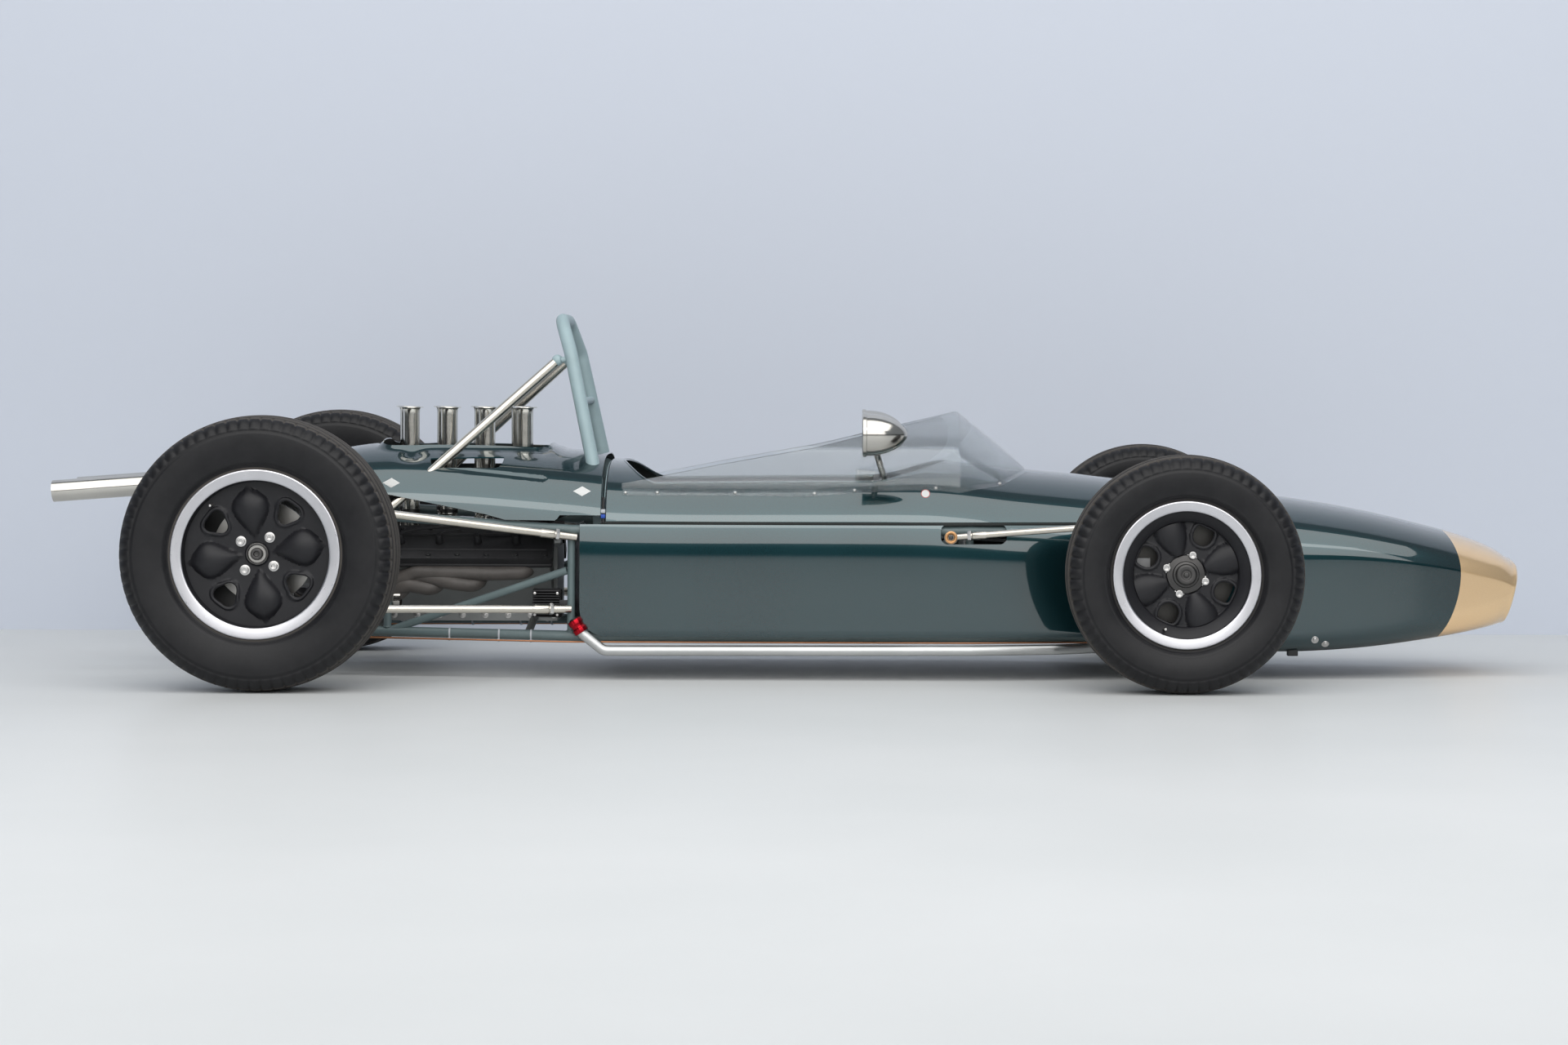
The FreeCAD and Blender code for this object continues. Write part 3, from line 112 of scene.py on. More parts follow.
def studio():
    """Camera, floor, wall, lamps, and a room that is darker at eye level than overhead."""
    camera = bpy.data.cameras.new("camera")
    camera.lens = CAMERA_LENS
    camera.sensor_width = 36.0
    camera.shift_x = -0.047
    camera.shift_y = -0.095
    camera.clip_end = 60.0
    eye = linked("camera", camera)
    eye.matrix_world = (Matrix.Translation(CAMERA_PLACE) @ Matrix.Rotation(PI / 2, 4, "X")
                        @ Matrix.Rotation(CAMERA_ROLL, 4, "Z"))
    bpy.context.scene.camera = eye

    floor_paint, shader, nodes = node_material("floor_resin")
    tint = nodes.ramp(nodes.noise(0.9, 4.0), (0, 0.60, 0.62, 0.62), (1, 0.70, 0.71, 0.71))
    nodes.fit(shader, Base_Color=tint, Roughness=0.42, Specular_IOR_Level=0.25)
    wall_paint, shader, nodes = node_material("wall_paint")
    nodes.fit(shader, Base_Color=(0.56, 0.60, 0.68, 1), Roughness=0.9)
    behind, clear = nodes.add("NewGeometry")["Backfacing"], nodes.add("BsdfTransparent")["BSDF"]
    pick = nodes.add("MixShader", behind, shader.outputs["BSDF"], clear)["Shader"]
    nodes.fit(wall_paint.node_tree.nodes["Material Output"], pick)
    for name, (near, low), (far, high), paint in (
            ("floor", (-FLOOR_REACH, 0), (FLOOR_REACH, 0), floor_paint),
            ("wall", (WALL_Y, 0), (WALL_Y, WALL_TOP), wall_paint)):
        mesh = bpy.data.meshes.new(name)
        mesh.from_pydata([(-FLOOR_REACH, near, low), (FLOOR_REACH, near, low), (FLOOR_REACH, far, high),
                          (-FLOOR_REACH, far, high)], [], [(0, 1, 2, 3)])
        mesh.materials.append(paint)
        thing = linked(name, mesh)

    world = bpy.data.worlds.new("studio_light")
    bpy.context.scene.world = world
    world.use_nodes = True
    nodes = Nodes(world.node_tree)
    height = nodes.add("SeparateXYZ", nodes.add("TexCoord")["Generated"])["Z"]
    shade = nodes.ramp(height, (0.035, 0.06, 0.07, 0.075), (0.075, 0.84, 0.92, 1.0))
    lit = nodes.fit(world.node_tree.nodes["Background"], shade, 0.26)["Background"]
    backdrop = nodes.add("Background", (0.60, 0.65, 0.71, 1))["Background"]
    seen = nodes.add("MixShader", nodes.add("LightPath")["Is Camera Ray"], lit, backdrop)["Shader"]
    nodes.fit(world.node_tree.nodes["World Output"], seen)

    for name, place, aim, width, height, watts in (
            ("ceiling_lamp", (0.2, -3.6, 5.4), (0.2, 0, 0.3), 10.0, 6.4, 400),
            ("front_softbox", (0.3, -10.5, 4.75), (0.3, 0, 4.75), 13.0, 7.3, 620),
            ("back_lamp", (0, 2.9, 3.8), (0, 0, 0.4), 6.0, 1.5, 60)):
        light = bpy.data.lights.new(name, "AREA")
        light.shape = "RECTANGLE"
        light.size = width
        light.size_y = height
        light.energy = watts
        light.color = (1.0, 0.985, 0.965)
        thing = linked(name, light)
        thing.location = place
        thing.rotation_euler = (Vector(aim) - Vector(place)).to_track_quat("-Z", "Y").to_euler()
        thing.visible_camera = False
    bpy.context.scene.view_settings.view_transform = "Standard"


studio()

# ---------------------------------------------------------------- tyres
# Cross-ply racing tyres: a nearly flat tread with sipes and ribs, notched shoulders, a plain shoulder
# groove and a soft round sidewall. They are pressed on the rims and turn with them.
WHEELS = {
    # end: wheel centre on the left, tyre radius, tyre width, rim radius, rim width, shoulder notches
    "front": ((1.003, 0.660, 0.296), 0.296, 0.190, 0.184, 0.150, 65),
    "rear": ((-1.287, 0.6725, 0.341), 0.341, 0.225, 0.210, 0.186, 72),
}
SHOULDER_INSET, CROWN_DROP, SHOULDER_DROP = 0.026, 0.007, 0.030
TREAD_GROOVES, TREAD_GROOVE_HALF, TREAD_GROOVE_DEPTH = (0.018, 0.040, 0.060), 0.0030, 0.0032


def grid_faces(points, close_rows, close_columns, base=0):
    """One quad between each four neighbours of a (rows, columns, 3) array, optionally closed on itself."""
    rows, columns = points.shape[:2]
    index = np.arange(rows * columns).reshape(rows, columns) + base
    if close_rows:
        index = np.vstack([index, index[:1]])
    if close_columns:
        index = np.hstack([index, index[:, :1]])
    return np.stack([index[:-1, :-1], index[1:, :-1], index[1:, 1:], index[:-1, 1:]], -1).reshape(-1, 4)


def mesh_piece(name, spots, faces, material, body):
    """A smooth mesh piece from an array of points and an array of equal-sided faces, riding on its body."""
    mesh = bpy.data.meshes.new(name)
    mesh.vertices.add(len(spots))
    mesh.vertices.foreach_set("co", spots.astype(np.float32).ravel())
    mesh.loops.add(faces.size)
    mesh.loops.foreach_set("vertex_index", faces.astype(np.int32).ravel())
    mesh.polygons.add(len(faces))
    mesh.polygons.foreach_set("loop_start", np.arange(0, faces.size, faces.shape[1], dtype=np.int32))
    mesh.polygons.foreach_set("use_smooth", np.ones(len(faces), dtype=bool))
    mesh.update(calc_edges=True)
    mesh.materials.append(material)
    piece = linked(name, mesh)
    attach(piece, body)
    return piece


def rubber():
    """Black rubber: matt, greyer and dustier on the tread, with fine mould grain."""
    material, shader, nodes = node_material("tyre_rubber")
    cloud = nodes.noise(14.0, 6.0, Roughness=0.65)
    tint = nodes.ramp(cloud, (0.3, 0.0065, 0.0065, 0.0080), (0.75, 0.0140, 0.0140, 0.0155))
    nodes.fit(shader, Base_Color=tint, Roughness=nodes.between(cloud, 0.34, 0.52), Specular_IOR_Level=0.28,
              Normal=nodes.bump(nodes.noise(420.0, 3.0), 0.12, 0.0006))
    return material


def tread_rubber():
    """The tread's rubber: scuffed greyish brown, with fine zigzag sipes cut round it, painted darker in their
    grooves as painted shade.
    """
    material, shader, nodes = node_material("tread_rubber")
    sipe = nodes.add("TexWave", nodes.add("UVMap", uv_map="round_across")["UV"], bands_direction="Y",
                     Scale=9.0, Distortion=1.6, Detail=1.0, Detail_Scale=60.0)["Fac"]
    # The colour follows the sipes' wave and is darker where the bump sinks into a groove: painted shade.
    tint = nodes.ramp(sipe, (0.12, 0.020, 0.018, 0.017), (0.35, 0.062, 0.055, 0.049))
    nodes.fit(shader, Base_Color=tint, Roughness=0.85, Normal=nodes.bump(sipe, 0.7, 0.002))
    return material


def tyre_profile(radius, width, rim, rim_width):
    """Half of the tyre's outline from the crown's middle to the bead: distance out, distance across.

    A nearly flat crown, a rounded shoulder with a step for the groove, a soft sidewall bulge drawn as
    an arc of an ellipse, then the bead's ring against the rim's lip.
    """
    half = width / 2
    crown = np.linspace(0, 1, 17)
    crown_y = crown * (half - SHOULDER_INSET)
    crown_r = radius - CROWN_DROP * crown ** 2.4
    turn = np.linspace(0, 1, 13)[1:]
    shoulder_r = radius - CROWN_DROP - SHOULDER_DROP * turn ** 1.35
    shoulder_y = half - SHOULDER_INSET + 0.022 * np.sin(turn * PI / 2) ** 1.1
    fall = np.linspace(0, 1, 24)[1:]
    side_r = shoulder_r[-1] - fall * (shoulder_r[-1] - (rim + 0.004))
    bulge = np.sin(np.clip(fall * 0.86 + 0.14, 0, 1) * PI) ** 0.8
    side_y = half - 0.004 - 0.012 * fall ** 2 + 0.004 * bulge - 0.010 * np.clip(fall - 0.86, 0, 1) / 0.14
    radii = np.concatenate([crown_r, shoulder_r, side_r, [rim + 0.001, rim - 0.008]])
    places = np.concatenate([crown_y, shoulder_y, side_y, [rim_width / 2 - 0.004, rim_width / 2 - 0.012]])
    return radii, places


def groove(value, middle, breadth):
    """One at a groove's middle, falling smoothly to nothing at its edges."""
    return np.clip(1 - ((value - middle) / breadth) ** 2, 0, 1) ** 0.7


NOTCH_MIDDLE = 0.43
NOTCH_PHASES = (NOTCH_MIDDLE - 0.15, NOTCH_MIDDLE, NOTCH_MIDDLE + 0.15, NOTCH_MIDDLE + 0.5)


def make_tyre(end, side_name, side):
    """A tyre as a turned surface: angle round it by distance along its outline from bead to bead.

    The radius is lowered by the tread's ribs and slots; the shoulder is notched by a wedge that is
    deepest at the tread's edge and fades at the shoulder groove; the sidewall carries raised rings.
    """
    centre, radius, width, rim, rim_width, notches = WHEELS[end]
    half_r, half_y = tyre_profile(radius, width, rim, rim_width)
    radii = np.concatenate([half_r[::-1], half_r[1:]])
    places = np.concatenate([-half_y[::-1], half_y[1:]])
    steps = notches * len(NOTCH_PHASES)
    phase = np.tile(NOTCH_PHASES, notches)
    angle = (np.repeat(np.arange(notches), len(NOTCH_PHASES)) + phase) * 2 * PI / notches
    notch = (phase == NOTCH_MIDDLE)[:, None].astype(float)
    r = np.repeat(radii[None, :], steps, axis=0)
    y = np.repeat(places[None, :], steps, axis=0)
    depth = radius - r
    edge = width / 2 - SHOULDER_INSET
    on_crown = np.abs(y) < edge
    ribs = sum(groove(np.abs(y), place, TREAD_GROOVE_HALF) for place in TREAD_GROOVES if place < edge - 0.006)
    r = r - np.where(on_crown, TREAD_GROOVE_DEPTH * ribs, 0)
    shoulder_share = np.clip((depth - 0.004) / SHOULDER_DROP, 0, 1)
    wedge = notch * np.where(on_crown, np.clip((np.abs(y) - edge + 0.016) / 0.016, 0, 1),
                             np.clip(1 - shoulder_share * 1.02, 0, 1) ** 0.5)
    r = r - 0.0050 * wedge * (depth < 0.036)
    y = y - np.sign(y) * 0.0052 * wedge * (depth < 0.036)
    ring = groove(depth, 0.0375, 0.0016)
    y = y - np.sign(y) * 0.0022 * ring * (~on_crown)
    inner_ring = groove(depth, radius - rim - 0.016, 0.0018) + groove(depth, radius - rim - 0.010, 0.0012)
    y = y + np.sign(y) * 0.0009 * inner_ring * (~on_crown)
    x = r * np.sin(angle)[:, None]
    z = r * np.cos(angle)[:, None]
    spots = np.stack([centre[0] + x, side * centre[1] + y, centre[2] + z], axis=-1)
    piece = mesh_piece(f"tyre_{end}_{side_name}_moulded", spots.reshape(-1, 3),
                       grid_faces(spots, True, False), RUBBER, f"{end}_wheel_{side_name}")
    mesh = piece.data
    mesh.materials.append(TREAD)
    columns = len(radii)
    column = np.tile(np.arange(columns - 1), steps)
    on_tread = np.abs((places[:-1] + places[1:]) / 2) < edge + 0.002
    mesh.polygons.foreach_set("material_index", on_tread[column].astype(np.int32))
    uv = mesh.uv_layers.new(name="round_across")
    corner_column = np.array([0, 0, 1, 1])
    corner_row = np.array([0, 1, 1, 0])
    row = np.repeat(np.arange(steps), columns - 1)
    u = np.append(angle, angle[0] + 2 * PI)[row[:, None] + corner_row] * radius
    v = places[column[:, None] + corner_column]
    uv.data.foreach_set("uv", np.stack([u, v], axis=-1).astype(np.float32).ravel())
    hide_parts(f"tyre_{end}_{side_name}")


RUBBER = rubber()
TREAD = tread_rubber()
for wheel_end in WHEELS:
    for side_name, side_sign in SIDES:
        make_tyre(wheel_end, side_name, side_sign)

# ---------------------------------------------------------------- wheels
# Cast magnesium wheels, satin black in the middle with a machined bare lip. Four bulging petals and four
# windows with raised edges fill the dished plate; the rear one is shallower than the front one.
PETALS = {
    # end: lip's inner radius, dished plate's radius, depth at its edge, first petal's angle, window's angle,
    # window's distance from the axis, petal's inner and outer radius, half width, height
    "front": (0.158, 0.130, 0.044, 20.5, 66.0, 0.107, 0.040, 0.136, 0.0400, 0.018),
    "rear": (0.182, 0.178, 0.034, 8.0, 53.0, 0.126, 0.036, 0.164, 0.0455, 0.024),
}
WHEEL_HUB_RADIUS = {"front": 0.050, "rear": 0.031}
PLATE_THICKNESS = 0.007
CRISP_FOLD = math.radians(38)
WHEEL_STEPS = 96


def sheets_piece(name, sheets, materials, body="chassis", weld=1e-6):
    """One closed mesh from several grids: each is (points, rows closed, columns closed, material number).

    The grids' shared borders are welded and all faces are turned to look outwards.
    """
    spots, faces, numbers, base = [], [], [], 0
    for points, close_rows, close_columns, paint in sheets:
        faces.append(grid_faces(points, close_rows, close_columns, base))
        spots.append(points.reshape(-1, 3))
        numbers.append(np.full(len(faces[-1]), paint))
        base += len(spots[-1])
    piece = mesh_piece(name, np.concatenate(spots), np.concatenate(faces), materials[0], body)
    for material in materials[1:]:
        piece.data.materials.append(material)
    piece.data.polygons.foreach_set("material_index", np.concatenate(numbers).astype(np.int32))
    cell = bmesh.new()
    cell.from_mesh(piece.data)
    bmesh.ops.remove_doubles(cell, verts=cell.verts, dist=weld)
    bmesh.ops.recalc_face_normals(cell, faces=cell.faces)
    cell.to_mesh(piece.data)
    cell.free()
    piece.data.set_sharp_from_angle(angle=CRISP_FOLD)
    return piece


def around(centre, towards, radius, reach):
    """Points by their radius and their distance along an axis; the rows go once round the axis."""
    axis = Vector(towards).normalized()
    aside = axis.orthogonal().normalized()
    other = axis.cross(aside)
    angle = np.arange(len(radius)) * 2 * PI / len(radius)
    ring = np.cos(angle)[:, None] * np.array(aside) + np.sin(angle)[:, None] * np.array(other)
    return np.array(centre) + radius[..., None] * ring[:, None, :] + reach[..., None] * np.array(axis)


def turned(profile, centre, towards, steps):
    """A profile of (radius, distance along the axis) turned once round the axis."""
    radius, reach = np.tile(profile, (steps, 1, 1)).transpose(2, 0, 1)
    return around(centre, towards, radius, reach)


def spun(profile, centre, towards, steps, paint=0):
    """A turned profile as one of a piece's sheets."""
    return turned(profile, centre, towards, steps), True, False, paint


def rounded(profile, bevel=0.0006, cuts=3):
    """A profile with each inner corner replaced by a small arc of three or more points."""
    corners = np.asarray(profile, dtype=float)
    out = [corners[0]]
    for before, corner, after in zip(corners, corners[1:], corners[2:]):
        back, onward = before - corner, after - corner
        reach = min(bevel, np.hypot(*back) * 0.45, np.hypot(*onward) * 0.45)
        start = corner + back / np.hypot(*back) * reach
        end = corner + onward / np.hypot(*onward) * reach
        for share in np.linspace(0, 1, cuts):
            out.append((1 - share) ** 2 * start + 2 * share * (1 - share) * corner + share ** 2 * end)
    out.append(corners[-1])
    return out


def milled(profile, bevel, cuts=3):
    """A rounded profile given in millimetres."""
    return rounded(np.array(profile) / 1000, bevel / 1000, cuts)


def wheel_black():
    """Satin black over cast magnesium: faint casting grain, a little brighter where hands rub it."""
    material, shader, nodes = node_material("wheel_black")
    tint = nodes.ramp(nodes.noise(22.0, 5.0), (0, 0.0080, 0.0080, 0.0100), (1, 0.0170, 0.0170, 0.0200))
    nodes.fit(shader, Base_Color=tint, Roughness=0.42, Specular_IOR_Level=0.3,
              Normal=nodes.bump(nodes.noise(650.0, 2.0), 0.25, 0.0004))
    return material


def bare_metal(name, colour, roughness, brushing=(60, 60, 60), mark=0.12, depth=0.00008):
    """Bare metal with its polishing marks: noise stretched along the way the metal was rubbed."""
    material, shader, nodes = node_material(name)
    along = nodes.add("Mapping", nodes.add("TexCoord")["Object"], Scale=brushing)["Vector"]
    rub = nodes.add("TexNoise", along, Scale=1.0, Detail=6.0, Roughness=0.7)["Fac"]
    dull = [value * 0.86 for value in colour]
    tint = nodes.ramp(nodes.noise(7.0, 3.0), (0.3, *dull), (0.7, *colour))
    polish = nodes.between(rub, max(roughness - mark, 0.03), roughness + mark)
    nodes.fit(shader, Metallic=1.0, Base_Color=tint, Roughness=polish, Normal=nodes.bump(rub, 0.3, depth))
    return material


def window_edge(end, turn):
    """A window's edge as distance from its own middle, by angle from the outward direction.

    Rear: a circle drawn out to three soft corners, one towards the hub. Front: a U whose open end is
    closed by the plate's edge, as the softened least of an ellipse and a straight line.
    """
    if end == "rear":
        return 0.0275 * (1 - 0.13 * np.cos(3 * turn))
    ellipse = ((np.abs(np.cos(turn)) / 0.027) ** 2.3 + (np.abs(np.sin(turn)) / 0.0245) ** 2.3) ** (-1 / 2.3)
    line = np.where(np.cos(turn) > 0.05, 0.0185 / np.clip(np.cos(turn), 0.05, 1), 1.0)
    return (ellipse ** -12 + line ** -12) ** (-1 / 12)


def plate_height(end, x, z):
    """Height of the plate's face over the dish: a shallow cone with four bulging petals."""
    _, plate, _, petal_turn, _, _, inner, outer, half, height = PETALS[end]
    r = np.hypot(x, z)
    turn = np.arctan2(z, x)
    off = (turn - math.radians(petal_turn) + PI / 4) % (PI / 2) - PI / 4
    along, aside = r * np.cos(off), r * np.sin(off)
    share = np.clip((along - inner) / (outer - inner), 0, 1)
    if end == "rear":
        width = half * np.sin(PI * share ** 1.55) ** 0.75 + 1e-5
        rise = height * np.sin(PI * share ** 1.25) ** 0.65
    else:
        width = half * np.sin(PI * np.clip(share * 0.60 + 0.02, 0, 1)) ** 0.9 + 1e-5
        rise = height * np.sin(PI * np.clip(share * 0.62 + 0.05, 0, 1)) ** 0.8
    dome = np.clip(1 - (aside / width) ** 2, 0, 1) ** 0.62
    cone = -0.010 * (1 - r / plate) if end == "rear" else 0.004 * (1 - r / plate)
    return cone + rise * dome


def wheel_plate(end):
    """The plate in four like sectors, as rows round a window by columns from the sector's edge to it.

    Points are shares between the sector's boundary and the window's edge; the face rises in a rounded
    ridge near the window, turns down through it and runs back behind as the plate's rear face.
    """
    _, plate, depth, _, window_turn, reach, *_ = PETALS[end]
    hub = WHEEL_HUB_RADIUS[end]
    outer_arc = np.radians(np.linspace(-45, 45, 400))
    side = np.linspace(hub, plate, 300)[1:-1]
    diagonal = math.radians(45)
    border = np.concatenate([
        np.stack([plate * np.cos(outer_arc), plate * np.sin(outer_arc)], -1),
        np.stack([side * math.cos(diagonal), side * math.sin(diagonal)], -1),
        np.stack([hub * np.cos(outer_arc), hub * np.sin(outer_arc)], -1),
        np.stack([side * math.cos(diagonal), -side * math.sin(diagonal)], -1),
    ])
    around = np.arctan2(border[:, 1], border[:, 0] - reach)
    away = np.hypot(border[:, 1], border[:, 0] - reach)
    order = np.argsort(around)
    corners = [math.atan2(radius * math.sin(diagonal), radius * math.cos(diagonal) - reach)
               for radius in (plate, hub)]
    turns = np.sort(np.concatenate([np.linspace(-PI, PI, 92, endpoint=False) + PI / 92, corners,
                                    [-corner for corner in corners]]))
    limit = np.interp(turns, around[order], away[order], period=2 * PI)
    edge = window_edge(end, turns)
    share = np.linspace(0, 1, 19) ** 0.85
    distance = limit[:, None] + (edge - limit)[:, None] * share[None, :]
    local = np.stack([reach + distance * np.cos(turns)[:, None], distance * np.sin(turns)[:, None]], -1)
    gap = distance - edge[:, None]
    ridge = 0.0042 * np.clip(1 - ((gap - 0.0045) / 0.0052) ** 2, 0, 1) ** 0.7
    sheets = []
    for quarter in range(4):
        turn = math.radians(window_turn + 90 * quarter)
        x = local[..., 0] * math.cos(turn) - local[..., 1] * math.sin(turn)
        z = local[..., 0] * math.sin(turn) + local[..., 1] * math.cos(turn)
        face = plate_height(end, x, z)
        front = np.stack([x, z, face + ridge - depth], -1)
        back = np.stack([x, z, face - PLATE_THICKNESS - depth], -1)[:, ::-3]
        sheets.append(np.concatenate([front, back], axis=1))
    return sheets


def make_wheel(end, side_name, side):
    """A wheel: the turned rim with its bare lip, and the plate's four sectors set into it."""
    centre, _, _, rim, width, _ = WHEELS[end]
    lip, plate, depth, *_ = PETALS[end]
    face = width / 2

    def placed(points):
        """From (across, up, outwards) about the wheel's middle to the car's frame."""
        return np.stack([centre[0] + points[..., 0], side * (centre[1] + face + points[..., 2]),
                         centre[2] + points[..., 1]], -1)

    def ringed(profile):
        """A profile of (radius, outwards from the lip's face) turned about the axle."""
        radius, out = np.asarray(profile, dtype=float).T
        turn = np.arange(WHEEL_STEPS) * 2 * PI / WHEEL_STEPS
        return placed(np.stack([radius * np.cos(turn)[:, None], radius * np.sin(turn)[:, None],
                                np.broadcast_to(out, (WHEEL_STEPS, len(out)))], -1))

    if end == "rear":
        dish = [(plate - 0.003, -depth - 0.002), (plate, -depth), (lip - 0.0015, -0.012),
                (lip - 0.001, -0.006)]
    else:
        dish = [(plate - 0.004, -depth - 0.001), (plate - 0.001, -depth + 0.001), (plate + 0.001, -0.031),
                (plate + 0.003, -0.027), (lip - 0.006, -0.017), (lip - 0.0015, -0.014), (lip - 0.001, -0.006)]
    band = rounded([(lip - 0.001, -0.006), (lip, -0.004), (lip + 0.003, -0.0025), (rim - 0.004, -0.0002),
                    (rim - 0.001, -0.0012), (rim - 0.0001, -0.004), (rim - 0.001, -0.007),
                    (rim - 0.016, -0.012)], 0.0012)
    barrel = rounded([(rim - 0.016, -0.012), (rim - 0.017, -0.030), (rim - 0.019, -0.036),
                      (rim - 0.019, -width + 0.036), (rim - 0.017, -width + 0.030),
                      (rim - 0.016, -width + 0.012), (rim - 0.001, -width + 0.006),
                      (rim - 0.001, -width + 0.002), (rim - 0.003, -width), (rim - 0.010, -width + 0.003),
                      (rim - 0.024, -width + 0.020), (rim - 0.025, -depth - 0.030),
                      (plate - 0.003, -depth - 0.010), (plate - 0.003, -depth - 0.002)], 0.003, 4)
    sheets = [(ringed(dish), True, False, 0), (ringed(band), True, False, 1),
              (ringed(barrel), True, False, 0)]
    sheets += [(placed(sheet), True, False, 0) for sheet in wheel_plate(end)]
    hub = WHEEL_HUB_RADIUS[end]
    boss = [(0.0265, -depth - 0.010), (0.0265, -depth - 0.001), (0.028, -depth + 0.0005),
            (hub - 0.001, -depth + 0.0005), (hub + 0.002, -depth - 0.001), (hub + 0.002, -depth - 0.010),
            (0.0265, -depth - 0.010)]
    if end == "rear":
        boss = [(radius, out - 0.008 + (0.004 if radius < 0.03 else 0)) for radius, out in boss]
    sheets.append((ringed(boss), True, False, 0))
    piece = sheets_piece(f"wheel_{end}_{side_name}_cast", sheets, [BLACK, LIP], f"{end}_wheel_{side_name}")
    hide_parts(f"wheel_{end}_{side_name}")
    wheel_fasteners(end, side_name, side, placed)


def wheel_fasteners(end, side_name, side, placed):
    """Four socket bolts, the hub's cap and nut, and the tyre's valve."""
    depth = PETALS[end][2]
    bolt_turn = {"front": 71, "rear": 53}[end]
    seat = -depth + (0.001 if end == "front" else -0.006)
    outwards = (0, side, 0)

    def spot(radius, degrees, out):
        turn = math.radians(degrees)
        return placed(np.array([radius * math.cos(turn), radius * math.sin(turn), out]))

    sheets = []
    head = milled([(0, 4.5), (4.5, 4.5), (4.8, 9.5), (8.8, 9.5), (9.5, 8.5), (9.5, 0), (13, 0), (13, -2),
                   (0, -2)], 0.5)
    for quarter in range(4):
        place = spot(0.0505, bolt_turn + 90 * quarter, seat)
        sheets.append(spun(head, place, outwards, 24))
    if end == "front":
        cap = milled([(0, 21), (6, 21), (6.5, 17), (12, 17), (12.5, 22), (22, 22), (26, 19), (26.2, 10),
                      (32, 9), (33, 4), (47, 3), (48.5, 0), (48.5, -6), (0, -6)], 1.2)
        middle = placed(np.array([0, 0, -depth]))
    else:
        cap = milled([(0, 6), (6, 6), (7, 12), (13.5, 12), (15, 10), (15.5, -2), (21, -4), (22.5, 8),
                      (26, 8), (26.2, -12), (0, -12)], 1)
        middle = placed(np.array([0, 0, -depth - 0.002]))
    sheets.append(spun(cap, middle, outwards, 40, paint=1))
    valve = milled([(0, 30), (3, 30), (3.6, 26), (3.6, 17), (3, 16), (4.4, 8), (5.2, 0), (0, -4)], 0.6)
    turn = {"front": -112, "rear": 133}[end]
    radius = {"front": 0.143, "rear": 0.163}[end]
    root = {"front": -0.024, "rear": -depth - 0.002}[end]
    sheets.append(spun(valve, spot(radius, turn, root), outwards, 20))
    piece = sheets_piece(f"wheel_bolts_{end}_{side_name}", sheets, [STEEL, HUB_STEEL],
                         f"{end}_wheel_{side_name}")


BLACK = wheel_black()
LIP = bare_metal("machined_lip", (0.62, 0.62, 0.65), 0.30, (25, 900, 25), 0.08)
STEEL = bare_metal("bolt_steel", (0.62, 0.61, 0.60), 0.30, (300, 300, 300), 0.10)
HUB_STEEL = bare_metal("hub_steel", (0.085, 0.083, 0.082), 0.42, (200, 200, 200), 0.12)
for wheel_end in WHEELS:
    for side_name, side_sign in SIDES:
        make_wheel(wheel_end, side_name, side_sign)

# ---------------------------------------------------------------- body panels
# Glass-fibre upper body and nose with alloy side panels, all in one dark metallic green. The nose's tip is
# gold, with a gold line along the top. Panels part at shut lines and are held by quarter-turn fasteners.
SKIN_COLUMNS = ("x", "top", "half", "floor", "side_z", "corner", "fullness")
BODY_STATIONS = np.array([
    (-0.560, 0.571, 0.347, 0.095, 0.300, 0.030, 3.00),
    (-0.430, 0.560, 0.353, 0.095, 0.300, 0.030, 3.00),
    (-0.250, 0.556, 0.361, 0.095, 0.300, 0.030, 3.00),
    (0.060, 0.558, 0.3645, 0.095, 0.300, 0.030, 3.00),
    (0.360, 0.561, 0.361, 0.095, 0.298, 0.030, 2.95),
    (0.632, 0.538, 0.341, 0.092, 0.294, 0.034, 2.70),
    (0.985, 0.503, 0.302, 0.082, 0.304, 0.040, 2.40),
    (1.301, 0.469, 0.281, 0.071, 0.316, 0.046, 2.25),
    (1.500, 0.438, 0.262, 0.080, 0.314, 0.052, 2.15),
    (1.680, 0.398, 0.238, 0.101, 0.296, 0.058, 2.05),
    (1.817, 0.362, 0.209, 0.120, 0.268, 0.066, 2.00),
    (1.890, 0.332, 0.187, 0.132, 0.248, 0.074, 2.00),
    (1.921, 0.309, 0.174, 0.138, 0.236, 0.080, 2.00),
])


def smooth_columns(stations, x):
    """Each column of a station table at the places x, by cubic pieces whose slopes are the means of the
    neighbouring chords, lowered where a chord turns so that nothing overshoots."""
    known = stations[:, 0]
    place = np.clip(np.searchsorted(known, x) - 1, 0, len(known) - 2)
    width = np.diff(known)
    share = (np.asarray(x) - known[place]) / width[place]
    out = {}
    for number, name in enumerate(SKIN_COLUMNS[1:], start=1):
        value = stations[:, number]
        chord = np.diff(value) / width
        slope = np.concatenate([[chord[0]], (chord[:-1] + chord[1:]) / 2, [chord[-1]]])
        turning = np.concatenate([[False], chord[:-1] * chord[1:] < 0, [False]])
        slope[turning] = 0
        low, high = value[place], value[place + 1]
        rise_low, rise_high = slope[place] * width[place], slope[place + 1] * width[place]
        out[name] = (low * (1 + 2 * share) * (1 - share) ** 2 + rise_low * share * (1 - share) ** 2
                     + high * share ** 2 * (3 - 2 * share) - rise_high * share ** 2 * (1 - share))
    return out


def upper_height(stations, x, y):
    """Height of the skin's upper half over a point: a superellipse from the side's top to the crown."""
    at = smooth_columns(stations, x)
    across = np.clip(np.abs(y) / at["half"], 0, 1)
    return at["side_z"] + (at["top"] - at["side_z"]) * (1 - across ** at["fullness"]) ** (1 / at["fullness"])


def skin_width(stations, x, z):
    """Half width of the skin's upper part at a height: the superellipse solved for its width."""
    at = smooth_columns(stations, x)
    rise = np.clip((z - at["side_z"]) / (at["top"] - at["side_z"]), 0, 1)
    return at["half"] * (1 - rise ** at["fullness"]) ** (1 / at["fullness"])


